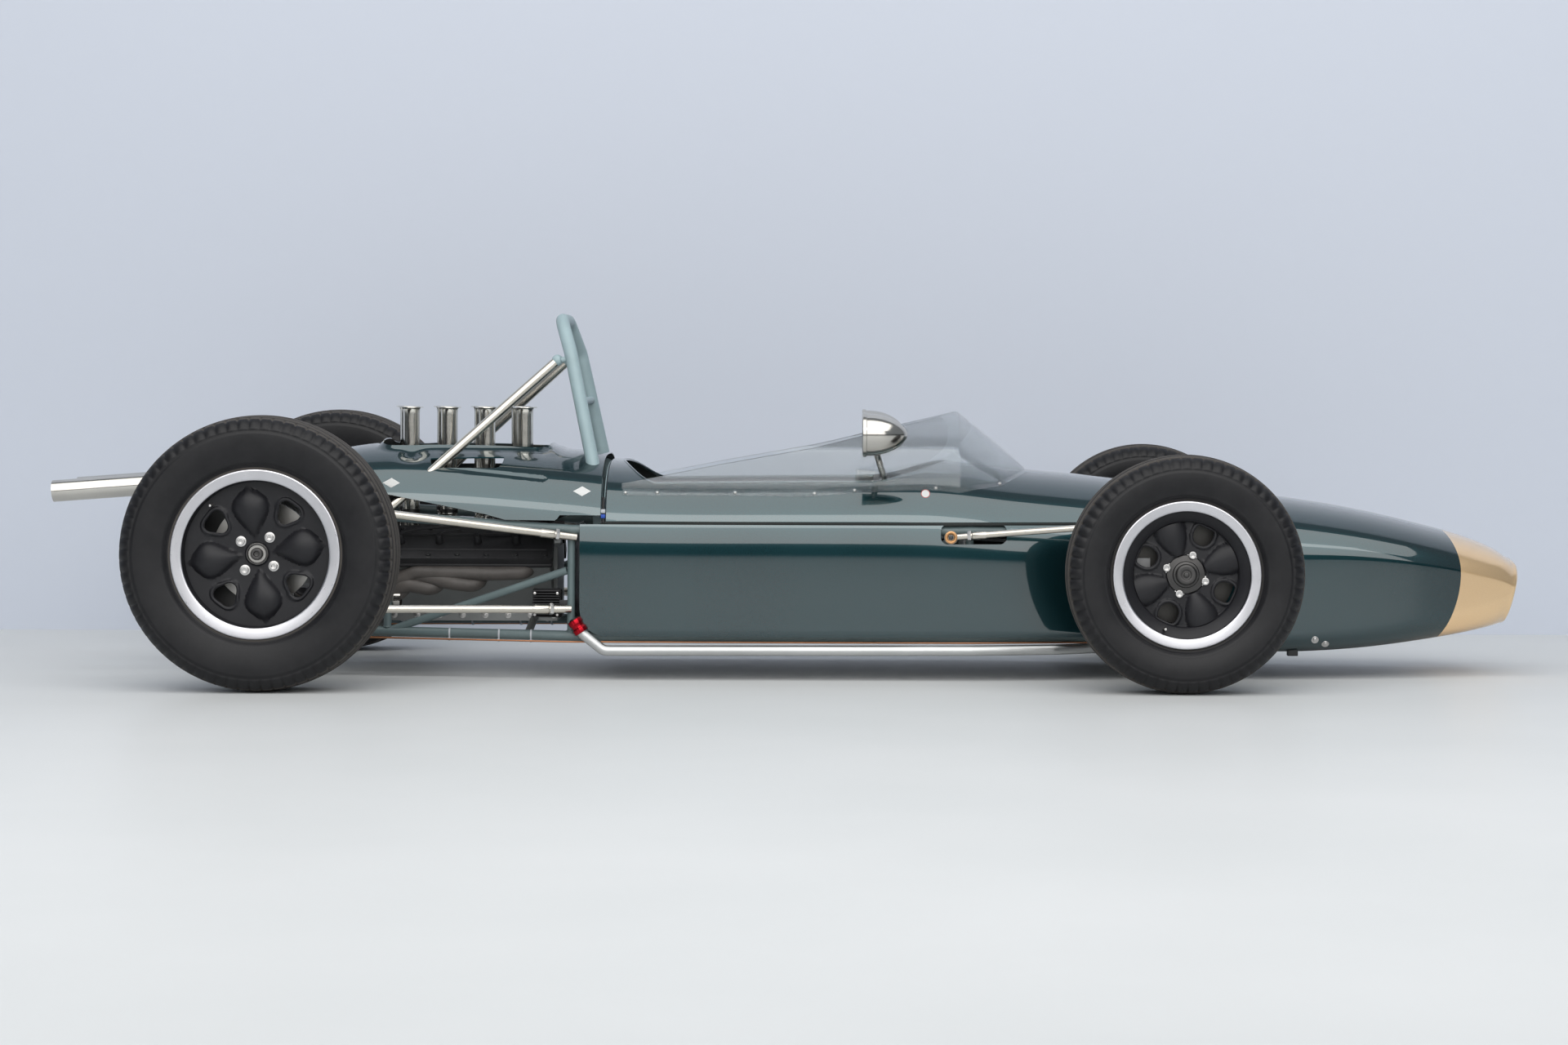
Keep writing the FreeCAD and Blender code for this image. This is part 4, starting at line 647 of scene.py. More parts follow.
def skin_ring(stations, x, girth):
    """Points round one side of the skin, from the floor's middle (0) to the crown's middle (1).

    The floor runs flat to a round corner, the side stands upright to its top, and a superellipse carries
    it over to the crown. Shares of the girth: 0.2 floor, 0.08 corner, 0.17 side and the rest the crown.
    """
    at = smooth_columns(stations, x)
    half, floor, corner, side_z, top = (at[key] for key in ("half", "floor", "corner", "side_z", "top"))
    full = at["fullness"]
    flat = np.clip(girth / 0.20, 0, 1)
    turn = np.clip((girth - 0.20) / 0.08, 0, 1) * PI / 2
    rise = np.clip((girth - 0.28) / 0.17, 0, 1)
    over = np.clip((girth - 0.45) / 0.55, 0, 1) * PI / 2
    y = (half - corner) * flat + corner * np.sin(turn)
    z = floor + corner * (1 - np.cos(turn)) + (side_z - floor - corner) * rise
    on_crown = girth > 0.45
    y = np.where(on_crown, half * np.clip(np.cos(over), 0, 1) ** (2 / full), y)
    z = np.where(on_crown, side_z + (top - side_z) * np.sin(over) ** (2 / full), z)
    return np.stack([np.broadcast_to(x, y.shape), y, z], -1)


def girth_at_height(stations, x, height):
    """The girth share at which the skin's side stands at a height, for heights above the floor's corner."""
    at = smooth_columns(stations, x)
    full = at["fullness"]
    side = 0.28 + 0.17 * (height - at["floor"] - at["corner"]) / (at["side_z"] - at["floor"] - at["corner"])
    share = np.clip((height - at["side_z"]) / (at["top"] - at["side_z"]), 0, 1)
    crown = 0.45 + 0.55 * np.arcsin(share ** (full / 2)) * 2 / PI
    return np.where(height < at["side_z"], side, crown)


def thickened(points, wall, inwards):
    """A sheet of points and its copy moved by the wall along the sheet's own normals, towards a point."""
    along_rows = np.gradient(points, axis=0)
    along_columns = np.gradient(points, axis=1)
    normal = np.cross(along_rows, along_columns)
    normal /= np.linalg.norm(normal, axis=-1, keepdims=True) + 1e-12
    towards = inwards - points
    sign = np.sign(np.sum(normal * towards, axis=-1, keepdims=True))
    sign[sign == 0] = 1
    return points + normal * sign * wall


def shell(outer, wall, inwards, paint=0, inside=1):
    """A panel's closed sheets: outer face, inner face, and the rims between them on its four borders."""
    inner = thickened(outer, wall, inwards)
    rims = [np.stack([outer[:, 0], inner[:, 0]]), np.stack([outer[:, -1], inner[:, -1]]),
            np.stack([outer[0], inner[0]]), np.stack([outer[-1], inner[-1]])]
    faces = [(outer, False, False, paint), (inner, False, False, inside)]
    return faces + [(rim, False, False, paint) for rim in rims]


def arch(stations, x, low_z, columns):
    """Points of the skin from its lower edge on the right, over the crown, to its lower edge on the left."""
    x = np.asarray(x)[:, None]
    low = girth_at_height(stations, x, np.asarray(low_z).reshape(-1, 1))
    share = np.linspace(0, 1, columns)[None, :]
    half = skin_ring(stations, np.broadcast_to(x, (len(x), columns)), low + (1 - low) * share)
    return np.concatenate([half * (1, RIGHT, 1), half[:, -2::-1]], axis=1)


def flank(stations, x, low_z, edge, columns):
    """Points of the skin on one side, from its lower edge up to a distance from the middle."""
    x, edge = np.asarray(x)[:, None], np.asarray(edge)[:, None]
    low = girth_at_height(stations, x, np.asarray(low_z).reshape(-1, 1))
    at = smooth_columns(stations, x)
    high = 0.45 + 0.55 * np.arccos(np.clip(edge / at["half"], 0, 1) ** (at["fullness"] / 2)) * 2 / PI
    share = np.linspace(0, 1, columns)[None, :]
    return skin_ring(stations, np.broadcast_to(x, (len(x), columns)), low + (high - low) * share)


def smooth_route(corners, bend, step=0.006):
    """Points of a route of straight runs whose corners are replaced by arcs of a bend radius."""
    corners = [np.array(corner, dtype=float) for corner in corners]
    points = [corners[0]]
    for before, corner, after in zip(corners, corners[1:], corners[2:]):
        back, onward = before - corner, after - corner
        reach_back, reach_on = np.linalg.norm(back), np.linalg.norm(onward)
        back, onward = back / reach_back, onward / reach_on
        opening = np.arccos(np.clip(back @ onward, -1, 1))
        if PI - opening < 0.01:
            continue
        radius = min(bend, 0.48 * min(reach_back, reach_on) * math.tan(opening / 2))
        tangent = radius / math.tan(opening / 2)
        middle = corner + (back + onward) / np.linalg.norm(back + onward) * radius / math.sin(opening / 2)
        start, end = corner + back * tangent - middle, corner + onward * tangent - middle
        turn = PI - opening
        for share in np.linspace(0, 1, max(4, int(turn * radius / step) + 2)):
            points.append(middle + (math.sin((1 - share) * turn) * start + math.sin(share * turn) * end)
                          / math.sin(turn))
    points.append(corners[-1])
    points = np.array(points)
    keep = np.concatenate([[True], np.linalg.norm(np.diff(points, axis=0), axis=1) > 1e-6])
    return points[keep]


def carried(route, radius, steps=20, closed_ends=True):
    """A round section carried along a route: rows go along it and columns round it.

    The radius is one number or one for each point. Each ring's frame is the last one's, turned as little
    as the route turns. Closed ends are small domes.
    """
    route = np.asarray(route, dtype=float)
    radius = np.broadcast_to(np.asarray(radius, dtype=float), (len(route),)).copy()
    heading = np.gradient(route, axis=0)
    heading /= np.linalg.norm(heading, axis=1, keepdims=True)
    aside = np.array(Vector(heading[0]).orthogonal().normalized())
    rings = []
    angle = np.arange(steps) * 2 * PI / steps
    for spot, ahead, reach in zip(route, heading, radius):
        aside = aside - ahead * (aside @ ahead)
        aside /= np.linalg.norm(aside)
        other = np.cross(ahead, aside)
        rings.append(spot + reach * (np.cos(angle)[:, None] * aside + np.sin(angle)[:, None] * other))
    rings = np.array(rings)
    if closed_ends:
        ends = [np.repeat(route[place][None], steps, 0)[None] for place in (0, -1)]
        rings = np.concatenate([ends[0], rings, ends[1]])
    return rings


def flake(nodes, place, dark, light):
    """Metallic flake: a cell noise that shifts the colour a little from grain to grain."""
    cells = nodes.add("TexVoronoi", place, Scale=1600.0)["Color"]
    share = nodes.add("Math", cells, 0.55, nodes.noise(2.2, 2.0), operation="MULTIPLY_ADD")["Value"]
    return nodes.mixed(share, dark, light)


def piped(route, radius, steps, paint=0):
    """A carried round section with closed ends as one of a piece's sheets."""
    return carried(route, radius, steps), False, True, paint


def metallic_green():
    """Metallic paint under clear lacquer: green, but gold past the nose's curved line and along the crown.

    It has fine flake and a soft orange-peel ripple.
    """
    material, shader, nodes = node_material("racing_green")
    place = nodes.add("TexCoord")["Object"]
    green = flake(nodes, place, (0.0026, 0.0160, 0.0200, 1), (0.0085, 0.0390, 0.0465, 1))
    gold = flake(nodes, place, (0.80, 0.52, 0.27, 1), (0.96, 0.68, 0.38, 1))
    parts = nodes.add("SeparateXYZ", place)
    x, y, z = parts["X"], parts["Y"], parts["Z"]

    def sums(operation, *values):
        return nodes.add("Math", *values, operation=operation)["Value"]

    lift = sums("SUBTRACT", z, 0.300)
    bow = sums("MULTIPLY", sums("MULTIPLY", lift, lift), GOLD_BOW)
    line = sums("ADD", sums("ADD", bow, x), sums("MULTIPLY", lift, GOLD_SLANT))
    stripe = sums("MULTIPLY", sums("LESS_THAN", sums("ABSOLUTE", y), GOLD_LINE_HALF_WIDTH),
                  sums("GREATER_THAN", z, 0.30))
    stripe = sums("MULTIPLY", stripe, sums("GREATER_THAN", x, 0.62))
    where = sums("MAXIMUM", sums("GREATER_THAN", line, GOLD_START), stripe)
    nodes.fit(shader, Base_Color=nodes.mixed(where, green, gold), Metallic=0.80, Roughness=0.28,
              Coat_Weight=1.0, Coat_IOR=1.75, Coat_Roughness=0.04, Specular_IOR_Level=0.2,
              Normal=nodes.bump(nodes.noise(90.0, 2.0), 0.04, 0.0004))
    return material


def laminate():
    """The panels' inner face: dark resin with the glass mat's print showing."""
    material, shader, nodes = node_material("panel_inside")
    mat = nodes.add("TexVoronoi", nodes.add("TexCoord")["Object"], feature="DISTANCE_TO_EDGE", Scale=260.0,
                    Randomness=1.0)["Distance"]
    nodes.fit(shader, Base_Color=nodes.ramp(mat, (0, 0.030, 0.036, 0.035), (1, 0.016, 0.020, 0.020)),
              Roughness=0.7, Normal=nodes.bump(mat, 0.3, 0.0005))
    return material


GOLD_START = 1.762
GOLD_SLANT = 0.10
GOLD_BOW = 2.0
GOLD_LINE_HALF_WIDTH = 0.006
GREEN = metallic_green()
INSIDE = laminate()
SHUT_LINE = 0.4040
SHUT_GAP = 0.0080
PANEL_REAR = -0.523
COVER_SPLIT = -0.470
NOSE_SPLIT = 0.985
PANEL_LOW = 0.112
GAP = 0.0008
WALL = 0.003


def applied(piece):
    """Bakes a piece's modifiers into its mesh."""
    bpy.context.view_layer.update()
    mesh = bpy.data.meshes.new_from_object(piece.evaluated_get(bpy.context.evaluated_depsgraph_get()))
    piece.modifiers.clear()
    piece.data = mesh


def opened(piece, boxes):
    """Cuts straight-sided openings, with rounded corners along Y, out of a closed panel.

    Each box is (lowest corner, highest corner, corner radius).
    """
    for low, high, radius in boxes:
        cell = bmesh.new()
        bmesh.ops.create_cube(cell, size=1.0)
        bmesh.ops.scale(cell, vec=np.subtract(high, low), verts=cell.verts)
        bmesh.ops.translate(cell, vec=np.add(low, high) / 2, verts=cell.verts)
        edges = [edge for edge in cell.edges
                 if abs((edge.verts[1].co - edge.verts[0].co).normalized().y) > 0.9]
        bmesh.ops.bevel(cell, geom=edges, offset=radius, segments=8, affect="EDGES", profile=0.5)
        bmesh.ops.recalc_face_normals(cell, faces=cell.faces)
        mesh = bpy.data.meshes.new("opening")
        cell.to_mesh(mesh)
        cell.free()
        cutter = linked("opening", mesh)
        cut = piece.modifiers.new("opening", "BOOLEAN")
        cut.operation = "DIFFERENCE"
        cut.object = cutter
        cut.solver = "EXACT"
        applied(piece)
        bpy.data.objects.remove(cutter)
        bpy.data.meshes.remove(mesh)


def panel(name, shells, openings, materials, body="chassis"):
    """One piece from several closed shells, each cut by the openings on its own before they are joined."""
    cell = bmesh.new()
    for number, sheets in enumerate(shells):
        part = sheets_piece(f"{name}_{number}", sheets, materials, body, 1e-5)
        opened(part, openings)
        cell.from_mesh(part.data)
        bpy.data.objects.remove(part)
    mesh = bpy.data.meshes.new(name)
    cell.to_mesh(mesh)
    cell.free()
    for material in materials:
        mesh.materials.append(material)
    mesh.set_sharp_from_angle(angle=CRISP_FOLD)
    piece = linked(name, mesh)
    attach(piece, body)
    return piece


# Where suspension, steering and the front radius rod pass through the skin: x, z ranges.
SKIN_OPENINGS = ((0.835, 1.150, 0.100, 0.176), (0.975, 1.031, 0.376, 0.440), (1.031, 1.090, 0.270, 0.380),
                 (1.090, 1.156, 0.258, 0.318), (0.405, 0.575, 0.352, 0.4035))


def side_openings(lowest, highest, x_low=-9.0, x_high=9.0):
    """The openings' boxes on both sides, kept to a panel's own range of height and length."""
    boxes = []
    for x_from, x_to, z_from, z_to in SKIN_OPENINGS:
        if z_to < lowest or z_from > highest or x_to < x_low or x_from > x_high:
            continue
        for side in (LEFT, RIGHT):
            y = sorted((side * 0.19, side * 0.40))
            boxes.append(((x_from, y[0], z_from), (x_to, y[1], z_to), 0.018))
    return boxes


MOUTH_FRONT, MOUTH_TURN, MOUTH_REAR, MOUTH_HALF = 0.430, 0.216, -0.430, 0.282
MOUTH_HEEL = 0.105
HOOP_GAP = 0.014


def upper_body():
    """The cockpit surround: an arch behind the cockpit, a flank each side of it and an arch in front.

    The mouth is straight beside the driver and a half ellipse at both ends, so the flanks' upper borders
    run from the middle out to the mouth's full width and back, and an arch takes over at each end.
    """
    turn = np.linspace(0, PI / 2, 40)
    straight = np.linspace(MOUTH_REAR + MOUTH_HEEL, MOUTH_TURN, 26)[1:-1]
    x = np.concatenate([MOUTH_REAR + MOUTH_HEEL * (1 - np.cos(turn)), straight,
                        MOUTH_TURN + (MOUTH_FRONT - MOUTH_TURN) * np.sin(turn)])
    edge = MOUTH_HALF * np.concatenate([np.sin(turn), np.ones(len(straight)), np.cos(turn)])
    low = SHUT_LINE + SHUT_GAP / 2
    middle = np.array([0.2, 0, 0.30])
    sheets = []
    for side in (LEFT, RIGHT):
        sheets += shell(flank(BODY_STATIONS, x, low, edge, 36) * (1, side, 1), WALL, middle)
    for start, end, rows in ((COVER_SPLIT + HOOP_GAP, MOUTH_REAR, 8),
                             (MOUTH_FRONT, NOSE_SPLIT - GAP / 2, 48)):
        sheets += shell(arch(BODY_STATIONS, np.linspace(start, end, rows), low, 48), WALL, middle, 0, 0)
    x = np.concatenate([x, x[-2::-1]])
    bead_y = np.concatenate([edge, -edge[-2::-1]])
    bead = np.stack([x, bead_y, upper_height(BODY_STATIONS, x, bead_y) - 0.0030], -1)
    sheets.append(piped(bead, 0.0048, 10))
    # A dark laminate rod runs just inside each shut line so that the gap shows dark: painted shade.
    gap_shade_x = np.linspace(COVER_SPLIT, NOSE_SPLIT, 90)
    inset = skin_width(BODY_STATIONS, gap_shade_x, SHUT_LINE) - 0.0095
    for side in (LEFT, RIGHT):
        route = np.stack([gap_shade_x, side * inset, np.full(90, SHUT_LINE)], -1)
        sheets.append(piped(route, 0.0060, 8, paint=1))
    piece = sheets_piece("upper_body", sheets, [GREEN, INSIDE], "chassis", 1e-5)
    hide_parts("cockpit_surround")


def side_panel(side_name, side):
    """A flat-sided alloy panel between the shut line and the floor, round at its lower rear corner."""
    x = np.concatenate([np.linspace(PANEL_REAR, PANEL_REAR + 0.07, 24)[:-1],
                        np.linspace(PANEL_REAR + 0.07, NOSE_SPLIT - GAP / 2, 70)])[:, None]
    heel = 0.070
    arc = np.clip((PANEL_REAR + heel - x) / heel, 0, 1)
    low_z = PANEL_LOW + heel * (1 - np.sqrt(1 - arc ** 2))
    share = np.linspace(0, 1, 30)[None, :]
    height = low_z + (SHUT_LINE - SHUT_GAP / 2 - low_z) * share
    at = smooth_columns(BODY_STATIONS, np.broadcast_to(x, height.shape))
    drop = np.clip((at["floor"] + at["corner"] - height) / at["corner"], 0, 1)
    lift = np.clip((height - at["side_z"]) / (at["top"] - at["side_z"]), 0, 1)
    y = at["half"] - at["corner"] * (1 - np.sqrt(1 - drop ** 2))
    y = y - at["half"] * (1 - (1 - lift ** at["fullness"]) ** (1 / at["fullness"]))
    swage = 0.0016 * groove(height, SHUT_LINE - 0.0055, 0.0035)
    outer = np.stack([np.broadcast_to(x, y.shape), side * (y - swage), height], -1)
    sheets = shell(outer, 0.0016, np.array([0.2, 0, 0.26]))
    boxes = [box for box in side_openings(0.0, 0.40, -1, 0.98) if side * (box[0][1] + box[1][1]) > 0]
    piece = panel(f"side_panel_{side_name}_skin", [sheets], boxes, [GREEN, INSIDE])
    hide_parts(f"side_panel_{side_name}")


NOSE_TIP, NOSE_FACE, NOSE_BROW = 1.921, 1.920, 0.294
NOSE_LEAN, NOSE_ROLL = 35 / 163, 0.011


def nose():
    """The nose as a closed sleeve: rows along it, columns right round, rolled in at the mouth."""
    x = np.concatenate([np.linspace(NOSE_SPLIT + GAP / 2, 1.75, 60)[:-1], np.linspace(1.75, NOSE_TIP, 26)])
    half = np.linspace(0, 1, 64)
    girth = np.concatenate([half[:-1], half[::-1][:-1]])
    side = np.concatenate([np.ones(63), -np.ones(63)])
    outer = skin_ring(BODY_STATIONS, x[:, None] + 0 * girth[None, :], girth[None, :] + 0 * x[:, None])
    outer[..., 1] *= side
    height = outer[..., 2]
    front = (NOSE_FACE + (np.minimum(height, NOSE_BROW) - NOSE_BROW) * NOSE_LEAN
             - np.clip(height - NOSE_BROW, 0, 1) * 0.30)
    share = np.clip((outer[..., 0] - 1.60) / 0.321, 0, 1) ** 2
    outer[..., 0] = outer[..., 0] + (front - NOSE_TIP) * share
    middle = np.array([0, 0, 0.222])
    tip = outer[-1]
    rolls = []
    for turn in np.linspace(0, PI, 12)[1:]:
        inward = (middle - tip) * (0, 1, 1)
        inward /= np.linalg.norm(inward, axis=-1, keepdims=True)
        forward = np.array([0.9, 0, -0.18 * NOSE_LEAN])
        rolls.append(tip + inward * NOSE_ROLL * (1 - np.cos(turn)) + forward * NOSE_ROLL * np.sin(turn))
    back = []
    for share in np.linspace(0, 1, 26)[1:]:
        row = outer[-1 - int(share * (len(outer) - 1))]
        inward = (middle - row) * (0, 1, 1)
        inward /= np.linalg.norm(inward, axis=-1, keepdims=True)
        wall = 2 * NOSE_ROLL * (1 - share) ** 2 + WALL
        back.append(row + inward * wall)
    points = np.concatenate([outer, np.array(rolls), np.array(back)])
    count = len(outer) + len(rolls) - 6
    sheets = [(points[:count + 1], False, True, 0), (points[count:], False, True, 1)]
    rear = np.stack([points[0], points[-1]])
    sheets.append((rear, False, True, 0))
    piece = sheets_piece("nose", sheets, [GREEN, INSIDE], "chassis", 1e-5)
    opened(piece, side_openings(0.0, 0.45, 0.98, 1.2))
    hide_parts("nose_cone")


upper_body()
for side_name, side_sign in SIDES:
    side_panel(side_name, side_sign)
nose()

# ---------------------------------------------------------------- engine cover
# One glass-fibre piece from the cockpit's rear edge to the gearbox. A raised lip runs round the opening
# for the intake trumpets, its rear corner kicks up, and two slots pass the roll hoop's stays.
COVER_STATIONS = np.array([
    (-1.230, 0.580, 0.2400, 0.330, 0.370, 0.008, 2.60),
    (-1.080, 0.602, 0.2680, 0.325, 0.362, 0.008, 2.70),
    (-0.850, 0.602, 0.3000, 0.310, 0.346, 0.008, 2.80),
    (-0.620, 0.590, 0.3340, 0.290, 0.322, 0.008, 2.90),
    (-0.470, 0.577, 0.3520, 0.270, 0.302, 0.008, 3.00),
    (-0.440, 0.573, 0.3555, 0.268, 0.300, 0.008, 3.00),
])
COVER_EDGE = np.array([(-1.260, 0.490), (-1.024, 0.472), (-0.771, 0.424), (-0.719, 0.410), (-0.585, 0.409),
                       (-0.577, 0.423), (-0.440, 0.423)])
TRUMPET_MOUTH = (-1.062, -0.622, 0.150, 0.045)
COVER_SLOTS = (
    # x range, height range, nearest the middle, corner radius
    (-0.923, -0.732, 0.541, 0.606, 0.203, 0.022),
    (-0.709, -0.588, 0.552, 0.577, 0.243, 0.010),
)


def pressed(points):
    """The cover's pressed-in detail: a lip round the mouth, an upturned corner, a crease and a dimple."""
    rear, front, half, corner = TRUMPET_MOUTH
    x, y, z = points[..., 0], points[..., 1], points[..., 2]
    beyond_x = np.abs(x - (rear + front) / 2) - (front - rear) / 2 + corner
    beyond_y = np.abs(y) - half + corner
    away = (np.hypot(np.maximum(beyond_x, 0), np.maximum(beyond_y, 0))
            + np.minimum(np.maximum(beyond_x, beyond_y), 0) - corner)
    lip = 0.011 * np.clip(1 - away / 0.018, 0, 1) ** 2
    kick = 0.007 * np.exp(-((x + 0.606) / 0.014) ** 2) * np.clip((z - 0.570) / 0.02, 0, 1)
    crease = 0.0026 * groove(z, 0.512 - 0.10 * (x + 0.6), 0.006) * (x > -0.90) * (x < -0.62)
    dimple = 0.009 * np.exp(-(((x + 0.975) / 0.026) ** 2 + ((z - 0.572) / 0.012) ** 2))
    return np.stack([x, y - np.sign(y) * (crease + dimple * 0.6), z + lip + kick - dimple], -1)


def engine_cover():
    """An arch before and behind the trumpets' mouth and a flank each side of it, with the stays' slots."""
    rear, front, half, corner = TRUMPET_MOUTH
    turn = np.linspace(0, PI / 2, 16)
    x = np.concatenate([rear + corner * (1 - np.cos(turn)),
                        np.linspace(rear + corner, front - corner, 62)[1:-1],
                        front - corner + corner * np.sin(turn)])
    edge = np.concatenate([half - corner * (1 - np.sin(turn)), np.full(60, half),
                           half - corner * (1 - np.cos(turn))])
    middle = np.array([-0.85, 0, 0.35])
    shells = []
    for side in (LEFT, RIGHT):
        low = np.interp(x, *COVER_EDGE.T)
        shells.append(shell(pressed(flank(COVER_STATIONS, x, low, edge, 50) * (1, side, 1)), WALL, middle))
    for start, end, rows in ((-1.214, rear, 26), (front, COVER_SPLIT - GAP / 2, 24)):
        x = np.linspace(start, end, rows)
        shells.append(shell(pressed(arch(COVER_STATIONS, x, np.interp(x, *COVER_EDGE.T), 58)), WALL, middle))
    boxes = []
    for side in (LEFT, RIGHT):
        for low_x, high_x, low_z, high_z, near, radius in COVER_SLOTS:
            y = sorted((side * near, side * 0.40))
            boxes.append(((low_x, y[0], low_z), (high_x, y[1], high_z), radius))
    piece = panel("engine_cover_skin", shells, boxes, [GREEN, INSIDE])
    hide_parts("engine_cover")


engine_cover()


# ---------------------------------------------------------------- windscreen
# A wrap-round screen of clear acrylic, thin at its top edge, held to the body by round-headed screws
# along a flat foot.
def clear_acrylic():
    """Clear acrylic: faint grey-green in its thickness, with fine wiping scratches."""
    material, shader, nodes = node_material("screen_acrylic")
    wipe = nodes.add("Mapping", nodes.add("TexCoord")["Object"], Scale=(20, 20, 260))["Vector"]
    scratch = nodes.add("TexNoise", wipe, Scale=1.0, Detail=4.0)["Fac"]
    nodes.fit(shader, Base_Color=(0.90, 0.94, 0.94, 1), Roughness=nodes.between(scratch, 0.02, 0.07),
              Transmission_Weight=1.0, IOR=1.45, Alpha=0.55)
    return material


SCREEN_ARCHES = np.array([
    # x, half width, foot height, top height
    (-0.425, 0.304, 0.455, 0.678),
    (0.060, 0.314, 0.455, 0.694),
    (0.455, 0.292, 0.455, 0.690),
    (0.560, 0.257, 0.455, 0.605),
    (0.645, 0.186, 0.455, 0.532),
])
SCREEN_PEAK = 0.4615
SCREEN_EDGE = ((-0.426, 0.503), (-0.150, 0.557), (0.084, 0.599), (0.401, 0.677), (0.462, 0.6935))


def screen_halves(x, steps):
    """Half arches of the screen by place, and the first point of each that stands clear of the body."""
    half, foot, top = (np.interp(x, SCREEN_ARCHES[:, 0], SCREEN_ARCHES[:, k])[:, None] for k in (1, 2, 3))
    turn = np.linspace(0, PI / 2, steps)
    y, z = half * np.cos(turn), foot + (top - foot) * np.sin(turn)
    body = upper_height(BODY_STATIONS, np.broadcast_to(x[:, None], y.shape), y)
    return y, z, top[:, 0], np.argmax(z > body + 0.0006, axis=1)


def windscreen():
    """The screen as arches along the car, each a half ellipse kept between the body and the screen's edge.

    Rows run from the rear tip to the foot in front; columns go round the arch from the body's surface on
    one side to the screen's edge, or right over where the edge has met the crest.
    """
    x = np.concatenate([np.linspace(-0.418, 0.380, 60)[:-1], np.linspace(0.380, SCREEN_PEAK, 24)[:-1],
                        np.linspace(SCREEN_PEAK, 0.632, 44)])
    halves_y, halves_z, top, first = screen_halves(x, 400)
    limit = np.where(x > SCREEN_PEAK, top, np.minimum(np.interp(x, *np.array(SCREEN_EDGE).T), top))
    sheets = []
    for side in (LEFT, RIGHT):
        rows = []
        for place, y, z, start, edge in zip(x, halves_y, halves_z, first, limit):
            pick = np.linspace(start, max(np.searchsorted(z, edge) - 1, start + 1), 28)
            rows.append(np.stack([np.full(28, place), side * np.interp(pick, np.arange(400), y),
                                  np.interp(pick, np.arange(400), z)], -1))
        sheets += shell(np.array(rows), 0.003, np.array([0.1, 0, 0.45]), 0, 0)
    piece = sheets_piece("screen", sheets, [ACRYLIC], "chassis", 1e-5)
    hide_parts("windscreen")


def screen_foot():
    """The screen's flat foot and its screws, following the line where the screen meets the body."""
    x = np.concatenate([np.linspace(-0.415, 0.50, 120)[:-1], np.linspace(0.50, 0.626, 40)])
    halves_y, _, _, first = screen_halves(x, 500)
    y = halves_y[np.arange(len(x)), first]
    breadth = np.linspace(-0.001, 0.014, 5)
    x_out = x[:, None] + np.where(x > 0.5, (x - 0.5) / 0.126, 0)[:, None] * 0.9 * breadth
    y_out = y[:, None] + breadth
    z_out = upper_height(BODY_STATIONS, x_out, y_out) + 0.0012
    dome = milled([(0, 3.4), (3.2, 2.8), (4.6, 1), (4.8, -0.6), (0, -0.6)], 0.8)
    sheets, heads = [], []
    for side in (LEFT, RIGHT):
        face, under = (np.stack([x_out, side * y_out, z_out - drop], -1) for drop in (0, 0.0010))
        sheets.append((np.concatenate([face, under[:, ::-1]], axis=1), False, True, 0))
        for place in SCREEN_SCREWS:
            y_at = np.interp(place, x, y) + 0.008
            z_at, z_on = upper_height(BODY_STATIONS, np.full(2, place), np.array([y_at, y_at + 0.002]))
            up = Vector((0, -side * (z_on - z_at) / 0.002, 1)).normalized()
            heads.append(spun(dome, (place, side * y_at, z_at + 0.001), up, 20))
    edging = sheets_piece("screen_foot_strip", sheets, [ACRYLIC], "chassis", 1e-5)
    screws = sheets_piece("screen_screws", heads, [STEEL])


SCREEN_SCREWS = (-0.408, -0.326, -0.125, 0.080, 0.183, 0.393, 0.560)
ACRYLIC = clear_acrylic()
windscreen()
screen_foot()

# ---------------------------------------------------------------- frame and roll hoop
# Round steel tube, welded and sprayed grey-green. The hoop's copy of the paint is about three times lighter
# and a
# little rougher: painted light where it stands up in the light. Rings of weld show at the uprights' ends.
def sprayed(name, colour, roughness=0.42, speckle=0.10, chips=0.0):
    """Sprayed paint: soft clouding, orange peel, and bare metal where edges are knocked."""
    material, shader, nodes = node_material(name)
    cloud = nodes.noise(9.0, 5.0, Roughness=0.6)
    dark, light = [value * (1 - speckle) for value in colour], [value * (1 + speckle) for value in colour]
    tint = nodes.ramp(cloud, (0.32, *dark), (0.68, *light))
    if chips:
        knock = nodes.noise(55.0, 8.0, Roughness=0.75)
        worn = nodes.add("MapRange", knock, From_Min=1 - chips, From_Max=1 - chips + 0.03)["Result"]
        tint = nodes.mixed(worn, tint, (0.30, 0.29, 0.27, 1))
    nodes.fit(shader, Base_Color=tint, Roughness=nodes.between(cloud, roughness - 0.08, roughness + 0.10),
              Normal=nodes.bump(nodes.noise(380.0, 2.0), 0.15, 0.0004))
    return material


def repaint(material, *names):
    """Gives carried-over CAD nodes a finish."""
    for name in names:
        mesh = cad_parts[name].data
        mesh.materials.clear()
        mesh.materials.append(material)
        mesh.polygons.foreach_set("material_index", np.zeros(len(mesh.polygons), dtype=np.int32))
        mesh.update()


def weld_ring(centre, axis, radius, bead=0.0022):
    """A ring of weld round a joint: a torus whose bead swells and narrows once every few millimetres."""
    section = np.arange(6) * 2 * PI / 6
    swell = bead * (1 + 0.22 * np.sin(np.arange(48) * 2 * PI / 48 * 12))[:, None]
    return around(centre, axis, radius + swell * np.cos(section), swell * np.sin(section))


FRAME_PAINT = sprayed("frame_paint", (0.105, 0.145, 0.150), 0.40, 0.10, 0.34)
# The hoop's paint is the frame's grey-green made about three times lighter: painted light.
HOOP_PAINT_LIT = sprayed("hoop_paint_lit", (0.300, 0.400, 0.425), 0.45, 0.08, 0.28)
repaint(FRAME_PAINT, "frame_side_left", "frame_side_right", "frame_crossmembers")


